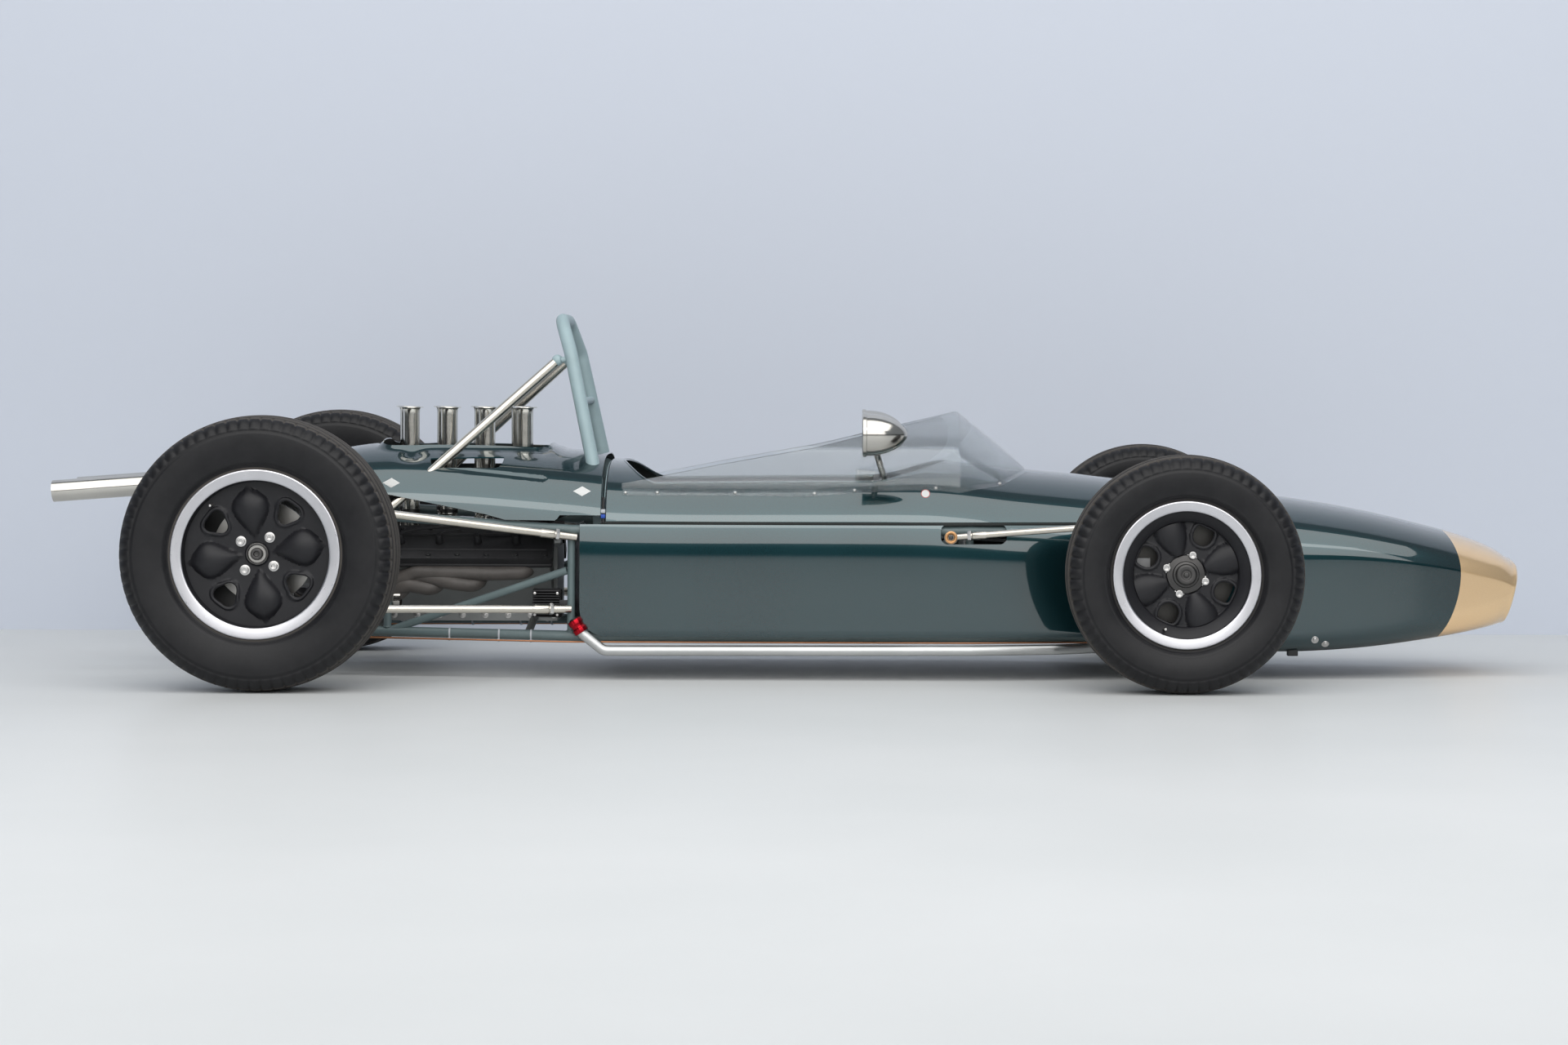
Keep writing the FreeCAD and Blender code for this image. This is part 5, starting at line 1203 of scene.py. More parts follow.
def frame_welds():
    """A ring of weld at both ends of every upright tube that stands between a side's two rails."""
    rings = []
    for side in (LEFT, RIGHT):
        for x in UPRIGHTS:
            lower_y, upper_y, lower_z, upper_z = [np.interp(x, RAILS[:, 0], RAILS[:, k]) for k in range(1, 5)]
            low, high = np.array((x, side * lower_y, lower_z)), np.array((x, side * upper_y, upper_z))
            axis = (high - low) / np.linalg.norm(high - low)
            for centre in (low + axis * RAIL_RADIUS, high - axis * RAIL_RADIUS):
                rings.append((weld_ring(centre, axis, UPRIGHT_RADIUS), True, True, 0))
    piece = sheets_piece("frame_welds", rings, [FRAME_PAINT])


RAIL_RADIUS, UPRIGHT_RADIUS = 0.0130, 0.0100
UPRIGHTS = (-1.400, -1.029, -0.546, 0.880, 1.180)
RAILS = np.array([
    # place, half width and height of the lower and upper rails
    (-1.400, 0.185, 0.205, 0.119, 0.440),
    (-0.546, 0.325, 0.325, 0.112, 0.385),
    (0.480, 0.325, 0.325, 0.112, 0.385),
    (1.180, 0.225, 0.218, 0.112, 0.385),
])
frame_welds()
repaint(HOOP_PAINT_LIT, "roll_hoop")

# ---------------------------------------------------------------- suspension and steering
# Nickel-plated tubular arms with screwed rod ends and lock nuts, cast alloy uprights, discs of bare iron, the
# front ones painted far darker as painted shade inside the wheels, and coil springs over dampers.
NICKEL = bare_metal("nickel_plate", (0.66, 0.62, 0.55), 0.22, (90, 90, 90), 0.10)
CAST = bare_metal("cast_alloy", (0.27, 0.27, 0.275), 0.50, (320, 320, 320), 0.10, 0.0004)
BRUSHED_STEEL = bare_metal("drive_steel", (0.46, 0.45, 0.43), 0.34, (120, 400, 120), 0.12)
# Far darker than bare iron: painted shade on the front discs inside the wheels.
DISC_IRON_SHADED = bare_metal("disc_iron_shaded", (0.065, 0.063, 0.060), 0.38, (700, 40, 700), 0.12)
BLACK_STEEL = sprayed("black_enamel", (0.020, 0.021, 0.022), 0.36, 0.25)
repaint(NICKEL, "front_links", "rear_links", "track_rods", "roll_stays")
repaint(CAST, "front_upright_left", "front_upright_right", "rear_uprights", "steering_rack_housing",
        "column_bearing")
repaint(DISC_IRON_SHADED, "front_hub_left", "front_hub_right")
repaint(BRUSHED_STEEL, "half_shaft_left", "half_shaft_right")

# ---------------------------------------------------------------- engine, exhaust and cooling
# A vee engine with black crackle cam covers and cast crankcase. Short spun trumpets stand in the vee, and
# black iron headers run back into two plated tailpipes.
CRACKLE = sprayed("black_crackle", (0.016, 0.016, 0.018), 0.62, 0.30)
CRANKCASE = bare_metal("crankcase_alloy", (0.30, 0.31, 0.31), 0.52, (280, 280, 280), 0.10, 0.0005)
IRON = sprayed("header_iron", (0.085, 0.076, 0.070), 0.50, 0.35)
CHROME = bare_metal("exhaust_plate", (0.60, 0.58, 0.54), 0.16, (40, 40, 40), 0.09)
SPUN = bare_metal("spun_alloy", (0.78, 0.76, 0.70), 0.16, (30, 30, 900), 0.07)
SHEET = bare_metal("sheet_alloy", (0.58, 0.59, 0.59), 0.40, (30, 400, 400), 0.12)
repaint(CRACKLE, "cam_covers")
repaint(CRANKCASE, "engine_block")
repaint(SHEET, "undertray", "fuel_tanks", "water_pipes", "radiator", "pedals", "dashboard", "gear_lever")


# Eight spun trumpets: throttle body, clamp, tapering throat and a rolled bell.
TRUMPET_PITCH = 0.100
TRUMPET_ROWS = ((-0.688, -0.095), (-0.720, 0.095))
TRUMPET_FOOT, TRUMPET_TOP = 0.3305, 0.700


def trumpets():
    """Trumpets as turned profiles of radius by height, open at the top with a rolled rim."""
    throat = np.linspace(0, 1, 20)
    bell = 0.0217 + 0.0103 * throat ** 14
    height = TRUMPET_FOOT + 0.215 + (TRUMPET_TOP - TRUMPET_FOOT - 0.215 - 0.003) * np.sin(throat * PI / 2)
    roll = np.linspace(-0.2, PI, 8)
    rim = np.stack([0.0303 + 0.0019 * np.cos(roll), TRUMPET_TOP - 0.0032 + 0.0019 * np.sin(roll)], -1)
    outer = np.concatenate([
        rounded([(reach, TRUMPET_FOOT + rise) for reach, rise in (
            (0.0210, 0), (0.0223, 0.001), (0.0223, 0.070), (0.0203, 0.074), (0.0203, 0.082),
            (0.0225, 0.086), (0.0225, 0.190), (0.0210, 0.194), (0.0210, 0.205))], 0.001),
        np.stack([bell, height], -1), rim])
    inner = np.stack([bell[::-1] - 0.0016, height[::-1]], -1)
    inner = np.concatenate([inner, [(0.0190, TRUMPET_FOOT + 0.10), (0.0, TRUMPET_FOOT + 0.10)]])
    sheets = []
    for first, y in TRUMPET_ROWS:
        for number in range(4):
            middle = (first - TRUMPET_PITCH * number, y, 0)
            sheets.append(spun(np.concatenate([outer, inner]), middle, (0, 0, 1), 32))
    piece = sheets_piece("trumpets_spun", sheets, [SPUN])
    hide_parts("intake_trumpets")


def throttle_linkage():
    """The slide linkage between the two rows: long rods, ball joints and a short lever to each trumpet."""
    sheets = []
    for y in (-0.062, 0.062):
        sheets.append(piped([(-1.03, y, 0.470), (-0.66, y, 0.470)], 0.0035, 12))
    for first, y in TRUMPET_ROWS:
        inwards = -math.copysign(1, y)
        for number in range(4):
            x = first - TRUMPET_PITCH * number
            near = y + inwards * 0.020
            sheets.append(piped([(x, near, 0.452), (x, near + inwards * 0.013, 0.470)], 0.0030, 10))
            ball = [(0.0055 * math.sin(t), -0.0055 * math.cos(t)) for t in np.linspace(0, PI, 10)]
            sheets.append(spun(ball, (x, y + inwards * 0.033, 0.470), (0, 0, 1), 14))
            clamp = milled([(21.2, -5), (23.8, -5), (23.8, 5), (21.2, 5)], 1)
            sheets.append(spun(clamp, (x, y, 0.424), (0, 0, 1), 32, paint=1))
    piece = sheets_piece("throttle_linkage", sheets, [STEEL, HUB_STEEL])


trumpets()
throttle_linkage()

# The exhaust: four headers a side rise and sweep back into one plated pipe with a plain cut tip.
EXHAUST_ROUTE = ((-1.000, 0.205, 0.196), (-1.092, 0.205, 0.200), (-1.178, 0.150, 0.300),
                 (-1.204, 0.150, 0.430), (-1.235, 0.150, 0.526), (-1.920, 0.150, 0.474))


def tailpipes():
    """Each pipe as a closed wall: an outer and an inner round section carried along one route."""
    sheets = []
    for side in (LEFT, RIGHT):
        route = smooth_route([np.array(spot) * (1, side, 1) for spot in EXHAUST_ROUTE], 0.055, 0.004)
        span = np.concatenate([[0], np.cumsum(np.linalg.norm(np.diff(route, axis=0), axis=1))])
        extra = np.linspace(0, span[-1], 110)
        route = np.stack([np.interp(extra, span, route[:, k]) for k in range(3)], -1)
        outer = carried(route, 0.0285, 36, False)
        inner = carried(route, 0.0265, 36, False)
        sheets.append((np.concatenate([outer, inner[::-1]]), True, True, 0))
    piece = sheets_piece("tailpipes_plated", sheets, [CHROME])
    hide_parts("exhausts")


tailpipes()


CYLINDERS = tuple(-0.700 - 0.100 * number for number in range(4))


def plugs_and_bolts():
    """Crankcase core plugs, and a row of small bolts below them."""
    sheets = []
    for side in (LEFT, RIGHT):
        for x in CYLINDERS:
            plug = milled([(0, -2), (10, -2), (11.5, 2), (15, 2), (15.5, 0), (15.5, -4), (0, -4)], 0.6)
            sheets.append(spun(plug, (x, side * 0.1052, 0.185), (0, side, 0), 28))
        for x in np.linspace(-1.09, -0.61, 9):
            bolt = milled([(0, 5.2), (4.6, 5.2), (5, 4.4), (5, 0), (8.6, 0), (8.6, -1.2), (0, -1.2)], 0.5)
            sheets.append(spun(bolt, (x, side * 0.1056, 0.150), (0, side, 0), 18, paint=1))
    piece = sheets_piece("crankcase_plugs", sheets, [HUB_STEEL, STEEL])


plugs_and_bolts()

# ---------------------------------------------------------------- mirrors
# Bullet-shaped plated mirrors on short stalks, one each side of the screen, with plain flat glass.
MIRROR_RIM = (0.203, 0.398, 0.634)
MIRROR_STALK_FOOT = (0.262, 0.250, 0.512)


def mirrors():
    """Each shell is a bullet turned about the car's length: radius by distance forward of its glass."""
    length = 0.116
    share = np.linspace(0, 1, 34)
    bullet = np.stack([0.054 * (1 - share ** 2.1) ** 0.62, 0.0115 + (length - 0.0115) * share], -1)
    lip = milled([(49, 3.2), (49, 0), (55.5, 0), (57, 1.5), (57, 10), (54, 11)], 1.2)
    profile = np.concatenate([[(0.0, 0.0032)], lip, bullet])
    sheets, glasses = [], []
    for side in (LEFT, RIGHT):
        rim = (MIRROR_RIM[0], side * MIRROR_RIM[1], MIRROR_RIM[2])
        sheets.append(spun(profile, rim, (1, 0, 0), 56))
        glass = [(0.0, -0.0002), (0.0470, 0.0004), (0.0486, 0.0014), (0.0486, 0.0030), (0.0, 0.0030)]
        glasses.append(spun(glass, rim, (1, 0, 0), 48))
        foot = np.array(MIRROR_STALK_FOOT) * (1, side, 1)
        joint = np.array(rim) + np.array([0.030, -side * 0.020, -0.036])
        knee = joint + np.array([0.006, -side * 0.100, -0.012])
        sheets.append(piped(smooth_route([foot, knee, joint], 0.05), 0.0082, 20))
        flange = milled([(0, 4), (6, 4), (13, 2.2), (14.5, 0), (14.5, -2), (0, -2)], 1.2)
        sheets.append(spun(flange, foot + (0, 0, 0.001), (0, side * 0.35, 1), 30))
        collar = milled([(0, -11), (10, -11), (10.8, -7), (10.8, 7), (10, 11), (0, 11)], 1)
        sheets.append(spun(collar, joint, joint - knee, 24))
    piece = sheets_piece("mirror_shells", sheets, [CHROME])
    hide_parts("mirrors")
    glass = sheets_piece("mirror_glasses", glasses, [GLASS])


GLASS = bare_metal("silvered_glass", (0.86, 0.88, 0.88), 0.05, (90, 90, 90), 0.02)
mirrors()

# ---------------------------------------------------------------- seat and pads
# A thin black glass-fibre bucket with two removable pads in black stitched cloth, lying on the seat's
# pan and leaning on its back.
def seat_cloth():
    """Woven black cloth in random clouds; raised thread crowns painted lighter, gaps darker: painted
    highlight and shade.
    """
    material, shader, nodes = node_material("seat_cloth")
    place = nodes.add("TexCoord")["Object"]
    threads = [nodes.add("TexWave", place, Scale=420.0, bands_direction=way)["Fac"] for way in "XY"]
    weave = nodes.add("Math", *threads, operation="MULTIPLY")["Value"]
    # The weave that raises the bump also lightens its crowns and darkens its gaps: painted highlight and
    # painted shade.
    share = nodes.add("Math", weave, 0.35, nodes.noise(11.0, 5.0), operation="MULTIPLY_ADD")["Value"]
    nodes.fit(shader, Base_Color=nodes.ramp(share, (0.25, 0.010, 0.010, 0.012), (0.85, 0.036, 0.036, 0.040)),
              Roughness=0.92, Sheen_Weight=0.5, Normal=nodes.bump(weave, 0.4, 0.0008))
    return material


PAD_FACES = (
    # name, rear end and front end of the pad's underside (x, z)
    ("seat_pad_base", (-0.240, 0.1040), (-0.072, 0.1040)),
    ("seat_pad_back", (-0.428, 0.4620), (-0.314, 0.1850)),
)
PAD_HALF_WIDTH = 0.186
PAD_THICKNESS = 0.019


def padded_block(name, start, end):
    """A pad's cut block: a rounded slab in the seat's plane, blown up as foam under its cover."""
    start, end = Vector((start[0], 0, start[1])), Vector((end[0], 0, end[1]))
    ahead = (end - start).normalized()
    up = Vector((ahead.z, 0, -ahead.x))
    if up.z < 0 or (abs(up.z) < abs(up.x) and up.x < 0):
        up = -up
    length = (end - start).length
    cell = bmesh.new()
    bmesh.ops.create_cube(cell, size=1.0)
    bmesh.ops.scale(cell, vec=(length, 2 * PAD_HALF_WIDTH, PAD_THICKNESS), verts=cell.verts)
    bmesh.ops.bevel(cell, geom=cell.edges[:], offset=0.007, segments=3, affect="EDGES", profile=0.5)
    turn = Matrix((ahead, Vector((0, 1, 0)), up)).transposed().to_4x4()
    middle = (start + end) / 2 + up * (PAD_THICKNESS / 2 + 0.0015)
    bmesh.ops.transform(cell, matrix=Matrix.Translation(middle) @ turn, verts=cell.verts)
    bmesh.ops.recalc_face_normals(cell, faces=cell.faces)
    mesh = bpy.data.meshes.new(name)
    cell.to_mesh(mesh)
    cell.free()
    return linked(name, mesh), middle, ahead, up, length


CUSHION_STEPS = 20
PAD_RISE, SEAM_DEPTH, SEAM_HALF = 0.0015, 0.0055, 0.007


def seat_pads():
    """Each pad is blown up under cloth pressure, capped, sewn across in channels, then smoothed once."""
    for name, start, end in PAD_FACES:
        pad, middle, ahead, up, length = padded_block(name, start, end)
        remesh = pad.modifiers.new("even", "REMESH")
        remesh.mode = "VOXEL"
        remesh.voxel_size = 0.007
        applied(pad)
        count = len(pad.data.vertices)
        still = np.empty(count * 3, np.float32)
        pad.data.vertices.foreach_get("co", still)
        still = still.reshape(-1, 3)
        cloth = pad.modifiers.new("foam", "CLOTH")
        cloth.settings.use_pressure = True
        cloth.settings.uniform_pressure_force = 4.0
        cloth.settings.effector_weights.gravity = 0.0
        cloth.settings.quality = 5
        cloth.point_cache.frame_end = CUSHION_STEPS
        for step in range(1, CUSHION_STEPS + 1):
            bpy.context.scene.frame_set(step)
        applied(pad)
        bpy.context.scene.frame_set(1)
        blown = np.empty(count * 3, np.float32)
        pad.data.vertices.foreach_get("co", blown)
        moved = blown.reshape(-1, 3) - still
        reach = np.linalg.norm(moved, axis=1, keepdims=True)
        moved *= np.minimum(1, 0.005 / np.maximum(reach, 1e-9))
        spots = still + moved
        local = spots - np.array(middle)
        run, across, height = local @ np.array(ahead), local[:, 1], local @ np.array(up)
        top = np.clip(height / (PAD_THICKNESS / 2), 0, 1)
        crown = (1 - (2 * run / length) ** 4) * (1 - (across / PAD_HALF_WIDTH) ** 4)
        pitch = length / (4 if name == "seat_pad_base" else 7)
        phase = np.abs((run / pitch + 0.5) % 1 - 0.5) * pitch
        seam = np.clip(1 - phase / SEAM_HALF, 0, 1) ** 1.6 * (np.abs(run) < length / 2 - 0.012)
        lift = top * (PAD_RISE * np.clip(crown, 0, 1) - SEAM_DEPTH * seam)
        spots = spots + np.array(up) * lift[:, None]
        low = -PAD_THICKNESS / 2 - 0.0008
        under = np.minimum((spots - np.array(middle)) @ np.array(up) - low, 0)
        spots = spots - np.array(up) * under[:, None]
        pad.data.vertices.foreach_set("co", spots.astype(np.float32).ravel())
        pad.data.update()
        smooth = pad.modifiers.new("soft", "SUBSURF")
        smooth.levels = smooth.render_levels = 1
        applied(pad)
        pad.data.materials.clear()
        pad.data.materials.append(CLOTH)
        pad.data.polygons.foreach_set("use_smooth", np.ones(len(pad.data.polygons), dtype=bool))
        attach(pad, "chassis")
    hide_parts("seat_pads")
    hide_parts("seat_pads")


CLOTH = seat_cloth()
SEAT_SHELL = sprayed("seat_gelcoat", (0.014, 0.015, 0.016), 0.30, 0.20)
seat_pads()
repaint(SEAT_SHELL, "seat")

# ---------------------------------------------------------------- steering wheel
# A leather-bound rim on three drilled alloy spokes, bolted to a boss at the head of a long thin column.
WHEEL_HEAD = np.array([0.235, 0.0, 0.372])
COLUMN_FOOT = np.array([1.093, 0.0, 0.324])
RIM_RADIUS, GRIP_RADIUS = 0.140, 0.0118
SPOKE_HALF, SPOKE_HOLES = 0.0016, (0.052, 0.076, 0.100)


def stitched_leather():
    """Black leather: fine pebbled grain, worn smoother and a little lighter where hands hold it."""
    material, shader, nodes = node_material("rim_leather")
    pebble = nodes.add("TexVoronoi", nodes.add("TexCoord")["Object"], Scale=900.0)["Distance"]
    cloud = nodes.noise(18.0, 4.0)
    nodes.fit(shader, Base_Color=nodes.ramp(cloud, (0, 0.012, 0.011, 0.010), (1, 0.034, 0.030, 0.027)),
              Roughness=nodes.between(cloud, 0.38, 0.62), Normal=nodes.bump(pebble, 0.5, 0.0005))
    return material


def steering_wheel():
    """Rim: a torus with finger bumps inside and a sewn seam; spokes: flat arms with round holes; boss and
    column turned about the column's axis."""
    axis = (WHEEL_HEAD - COLUMN_FOOT) / np.linalg.norm(WHEEL_HEAD - COLUMN_FOOT)
    across = np.array([0.0, 1.0, 0.0])
    up = np.cross(axis, across)
    up = up if up[2] > 0 else -up
    turn = np.arange(180) * 2 * PI / 180
    round_grip = np.arange(20) * 2 * PI / 20
    inner = np.clip(-np.cos(round_grip), 0, 1)[None, :]
    grip = GRIP_RADIUS * (1 - 0.05 * (1 - np.cos(24 * turn))[:, None] * inner)
    ring = np.cos(turn)[:, None] * across + np.sin(turn)[:, None] * up
    reach = RIM_RADIUS + grip * np.cos(round_grip)[None, :]
    rim = WHEEL_HEAD + reach[..., None] * ring[:, None, :] + (grip * np.sin(round_grip))[..., None] * axis
    sheets = [(rim, True, True, 0)]
    stitch_turn = np.arange(96) * 2 * PI / 96
    for start in stitch_turn:
        spread = np.linspace(-0.012, 0.012, 3)
        line = [WHEEL_HEAD + (RIM_RADIUS - GRIP_RADIUS * 0.90) * (math.cos(start + s * 0.6) * across
                + math.sin(start + s * 0.6) * up) + axis * (s * 0.18) for s in spread]
        sheets.append(piped(line, 0.0006, 6, paint=2))
    for direction in (math.radians(0), math.radians(180), math.radians(270)):
        ahead = math.cos(direction) * across + math.sin(direction) * up
        aside = np.cross(axis, ahead)
        for number, hole in enumerate(SPOKE_HOLES):
            round_hole = np.linspace(0, 2 * PI, 48, endpoint=False)
            half_length = 0.012
            square = np.clip(np.stack([np.cos(round_hole), np.sin(round_hole)], -1) * 1.5, -1, 1)
            width = 0.0125 - 0.03 * (hole - 0.052)
            bore_radius = 0.0068 - 0.0009 * number
            edge = np.stack([square[:, 0] * half_length, square[:, 1] * width], -1)
            bore = np.stack([np.cos(round_hole), np.sin(round_hole)], -1) * bore_radius
            loop = []
            for share, lift in ((0, SPOKE_HALF), (1, SPOKE_HALF), (1, -SPOKE_HALF), (0, -SPOKE_HALF)):
                flat = edge * (1 - share) + bore * share
                loop.append(WHEEL_HEAD + (hole + flat[:, :1]) * ahead + flat[:, 1:] * aside + axis * lift)
            sheets.append((np.array(loop), True, True, 1))
        for ends in (((0.018, 0.0150), (0.040, 0.0128)), ((0.112, 0.0108), (0.134, 0.0120))):
            arm = [[WHEEL_HEAD + reach_at * ahead + s * half * aside + axis * t * SPOKE_HALF
                    for s, t in ((-1, 1), (1, 1), (1, -1), (-1, -1))] for reach_at, half in ends]
            sheets.append((np.array(arm), False, True, 1))
    length = float(np.linalg.norm(WHEEL_HEAD - COLUMN_FOOT))
    boss = rounded([(0, 0.0095), (0.0065, 0.0095), (0.0080, 0.0050), (0.0210, 0.0040), (0.0230, 0.0016),
                    (0.0230, -0.0060), (0.0150, -0.0120), (0.0110, -0.0300), (0.0110, -length), (0, -length)],
                   0.0014)
    sheets.append(spun(boss, WHEEL_HEAD, axis, 36, paint=1))
    piece = sheets_piece("steering_wheel_bound", sheets, [LEATHER, SHEET, STITCH], "steering_wheel", 1e-6)
    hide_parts("steering_wheel")


LEATHER = stitched_leather()
STITCH = sprayed("seam_thread", (0.22, 0.21, 0.19), 0.85, 0.15)
steering_wheel()

# ---------------------------------------------------------------- dashboard
# A flat alloy panel with five round dials in plated bezels and a row of switches, seen over the wheel.
DIALS = (
    # distance left of the middle, height, radius, end of the needle's swing used, in degrees
    (0.000, 0.490, 0.046, 210), (0.105, 0.476, 0.028, 150), (-0.105, 0.476, 0.028, 120),
    (0.180, 0.446, 0.026, 170), (-0.180, 0.446, 0.026, 95),
)


DIAL_FACE_X = 0.4655
REARWARDS = (-1, 0, 0)


def dashboard_dials():
    """Each dial: a stepped bezel, a black face, white ticks set round it and a thin needle over it."""
    sheets = []
    for y, z, radius, needle in DIALS:
        bezel = rounded([(radius - 0.004, -0.0015), (radius - 0.004, 0.004), (radius - 0.001, 0.006),
                         (radius + 0.002, 0.0055), (radius + 0.003, 0.002), (radius + 0.003, -0.0015)], 0.001)
        sheets.append(spun(bezel + [bezel[0]], (DIAL_FACE_X, y, z), REARWARDS, 48))
        face = [(0, 0.0012), (radius - 0.004, 0.0012), (radius - 0.004, 0.0), (0, 0.0)]
        sheets.append(spun(face, (DIAL_FACE_X, y, z), REARWARDS, 48, paint=1))
        for tick in np.radians(np.linspace(-135, 135, 13)):
            out = np.array([0, math.sin(tick), math.cos(tick)])
            middle = np.array([DIAL_FACE_X - 0.0016, y, z])
            line = [middle + out * (radius - 0.013), middle + out * (radius - 0.0075)]
            sheets.append(piped(line, 0.0008, 6, paint=2))
        swing = math.radians(needle)
        out = np.array([0, math.sin(swing), math.cos(swing)])
        middle = np.array([DIAL_FACE_X - 0.0026, y, z])
        hand = [middle - out * 0.006, middle + out * (radius - 0.012)]
        sheets.append(piped(hand, 0.0008, 8, paint=2))
        hub = milled([(0, 4.2), (3, 4), (3.6, 1.2), (0, 1.2)], 0.6)
        sheets.append(spun(hub, (DIAL_FACE_X, y, z), REARWARDS, 16, paint=1))
    for y in (-0.235, -0.255, 0.235, 0.255):
        switch = milled([(0, 20), (3, 19), (2.2, 6), (7, 5), (7.5, 0), (0, 0)], 0.8)
        sheets.append(spun(switch, (DIAL_FACE_X, y, 0.415), (-1, 0, 0.35), 16))
    piece = sheets_piece("dashboard_dials", sheets, [CHROME, CRACKLE, WHITE_INK])


WHITE_INK = sprayed("dial_white", (0.72, 0.72, 0.70), 0.60, 0.05)
dashboard_dials()


# ---------------------------------------------------------------- springs, dampers and rod ends
# Telescopic dampers inside coil springs: plated body and shaft, turned spring seats, rubber-bushed eyes.
# Arms end in threaded rod ends held by lock nuts.
DAMPERS = (
    # lower eye, upper eye (left side), spring's radius, wire radius, coils
    ((1.045, 0.4567, 0.1445), (1.065, 0.2356, 0.385), 0.0205, 0.0045, 8),
    ((-1.351, 0.5800, 0.2220), (-1.375, 0.2085, 0.4384), 0.0240, 0.0050, 9),
)


def spring_and_damper():
    """Helix: a round wire at a fixed distance from the damper's axis, climbing evenly as it turns, with
    flattened end coils. Body, shaft and seats are turned about the same axis."""
    sheets = []
    for low, high, radius, wire, coils in DAMPERS:
        for side in (LEFT, RIGHT):
            foot, head = np.array(low) * (1, side, 1), np.array(high) * (1, side, 1)
            length = np.linalg.norm(head - foot)
            axis = (head - foot) / length
            aside = np.array(Vector(axis).orthogonal().normalized())
            other = np.cross(axis, aside)
            share = np.linspace(0, 1, coils * 28)
            eased = share + 0.10 * np.sin(2 * PI * share) / (2 * PI)
            turn = share * coils * 2 * PI
            start, end = 0.16 * length, 0.58 * length
            helix = (foot + (start + (end - start) * eased)[:, None] * axis
                     + radius * (np.cos(turn)[:, None] * aside + np.sin(turn)[:, None] * other))
            sheets.append(piped(helix, wire, 10))
            body = rounded([(0, 0.05 * length), (0.012, 0.05 * length), (0.012, 0.12 * length),
                            (radius + wire, 0.13 * length), (radius + wire, 0.15 * length),
                            (0.0135, 0.155 * length), (0.0135, 0.44 * length), (0.0110, 0.45 * length),
                            (0.0055, 0.452 * length), (0.0055, 0.59 * length),
                            (radius + wire, 0.60 * length), (radius + wire, 0.62 * length),
                            (0.0100, 0.63 * length), (0.0080, 0.90 * length), (0, 0.90 * length)], 0.0015)
            sheets.append(spun(body, foot, axis, 28, paint=1))
            for eye in (foot + axis * 0.03 * length, head - axis * 0.06 * length):
                bush = milled([(6, -11), (13, -11), (14, -9), (14, 9), (13, 11), (6, 11)], 1)
                sheets.append(spun(bush + [bush[0]], eye, (1, 0, 0), 26, paint=1))
    piece = sheets_piece("springs_and_dampers", sheets, [BLACK_STEEL, NICKEL])
    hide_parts("coil_dampers")


ARMS = (
    # one end, other end (left side), rod radius
    ((-1.225, 0.580, 0.464), (-0.533, 0.338, 0.367), 0.0105),
    ((-1.249, 0.580, 0.196), (-0.546, 0.343, 0.182), 0.0105),
    ((1.003, 0.517, 0.4219), (0.431, 0.350, 0.370), 0.0085),
    ((-1.297, 0.580, 0.196), (-1.375, 0.189, 0.119), 0.0105),
    ((-1.283, 0.580, 0.476), (-1.325, 0.216, 0.435), 0.0105),
)


def lock_nuts():
    """A hexagon nut and a turned sleeve at each end of an arm; a brass bush and bolt in the front arms."""
    sheets, brass = [], []
    for start, end, radius in ARMS:
        for side in (LEFT, RIGHT):
            a, b = np.array(start) * (1, side, 1), np.array(end) * (1, side, 1)
            for here, ahead in ((a, b - a), (b, a - b)):
                ahead = ahead / np.linalg.norm(ahead)
                nut = [(radius + 0.0008, 0.046), (radius + 0.0048, 0.0465), (radius + 0.0052, 0.048),
                       (radius + 0.0052, 0.054), (radius + 0.0048, 0.0555), (radius + 0.0008, 0.056)]
                sheets.append(spun(nut, here, ahead, 6))
                sleeve = rounded([(radius + 0.0001, 0.058), (radius + 0.0016, 0.060),
                                  (radius + 0.0016, 0.092), (radius + 0.0001, 0.096)], 0.0008)
                sheets.append(spun(sleeve, here, ahead, 26, paint=1))
    for side in (LEFT, RIGHT):
        eye = np.array((0.431, side * 0.350, 0.370))
        ring = milled([(7, -12), (15, -12), (16.5, -10), (16.5, 13.5), (15, 15), (10.5, 15), (9.5, 12),
                       (7, 12)], 1)
        brass.append(spun(ring + [ring[0]], eye, (0, side, 0), 36))
        head = milled([(0, 16.5), (4.5, 16.5), (6.8, 15), (6.8, -10), (0, -10)], 0.8)
        brass.append(spun(head, eye, (0, side, 0), 6, paint=1))
    piece = sheets_piece("arm_lock_nuts", sheets, [STEEL, NICKEL])
    bush = sheets_piece("front_arm_bushes", brass, [BRASS, HUB_STEEL])


BRASS = bare_metal("bush_brass", (0.62, 0.34, 0.16), 0.34, (200, 200, 200), 0.10)
spring_and_damper()
lock_nuts()

# ---------------------------------------------------------------- engine bay fittings
# Small items in the engine bay: ribbed cam covers with plug caps, a finned electrical box, a red
# clamp on the water pipe, a copper pipe tied along the lower rail, and bolt heads.


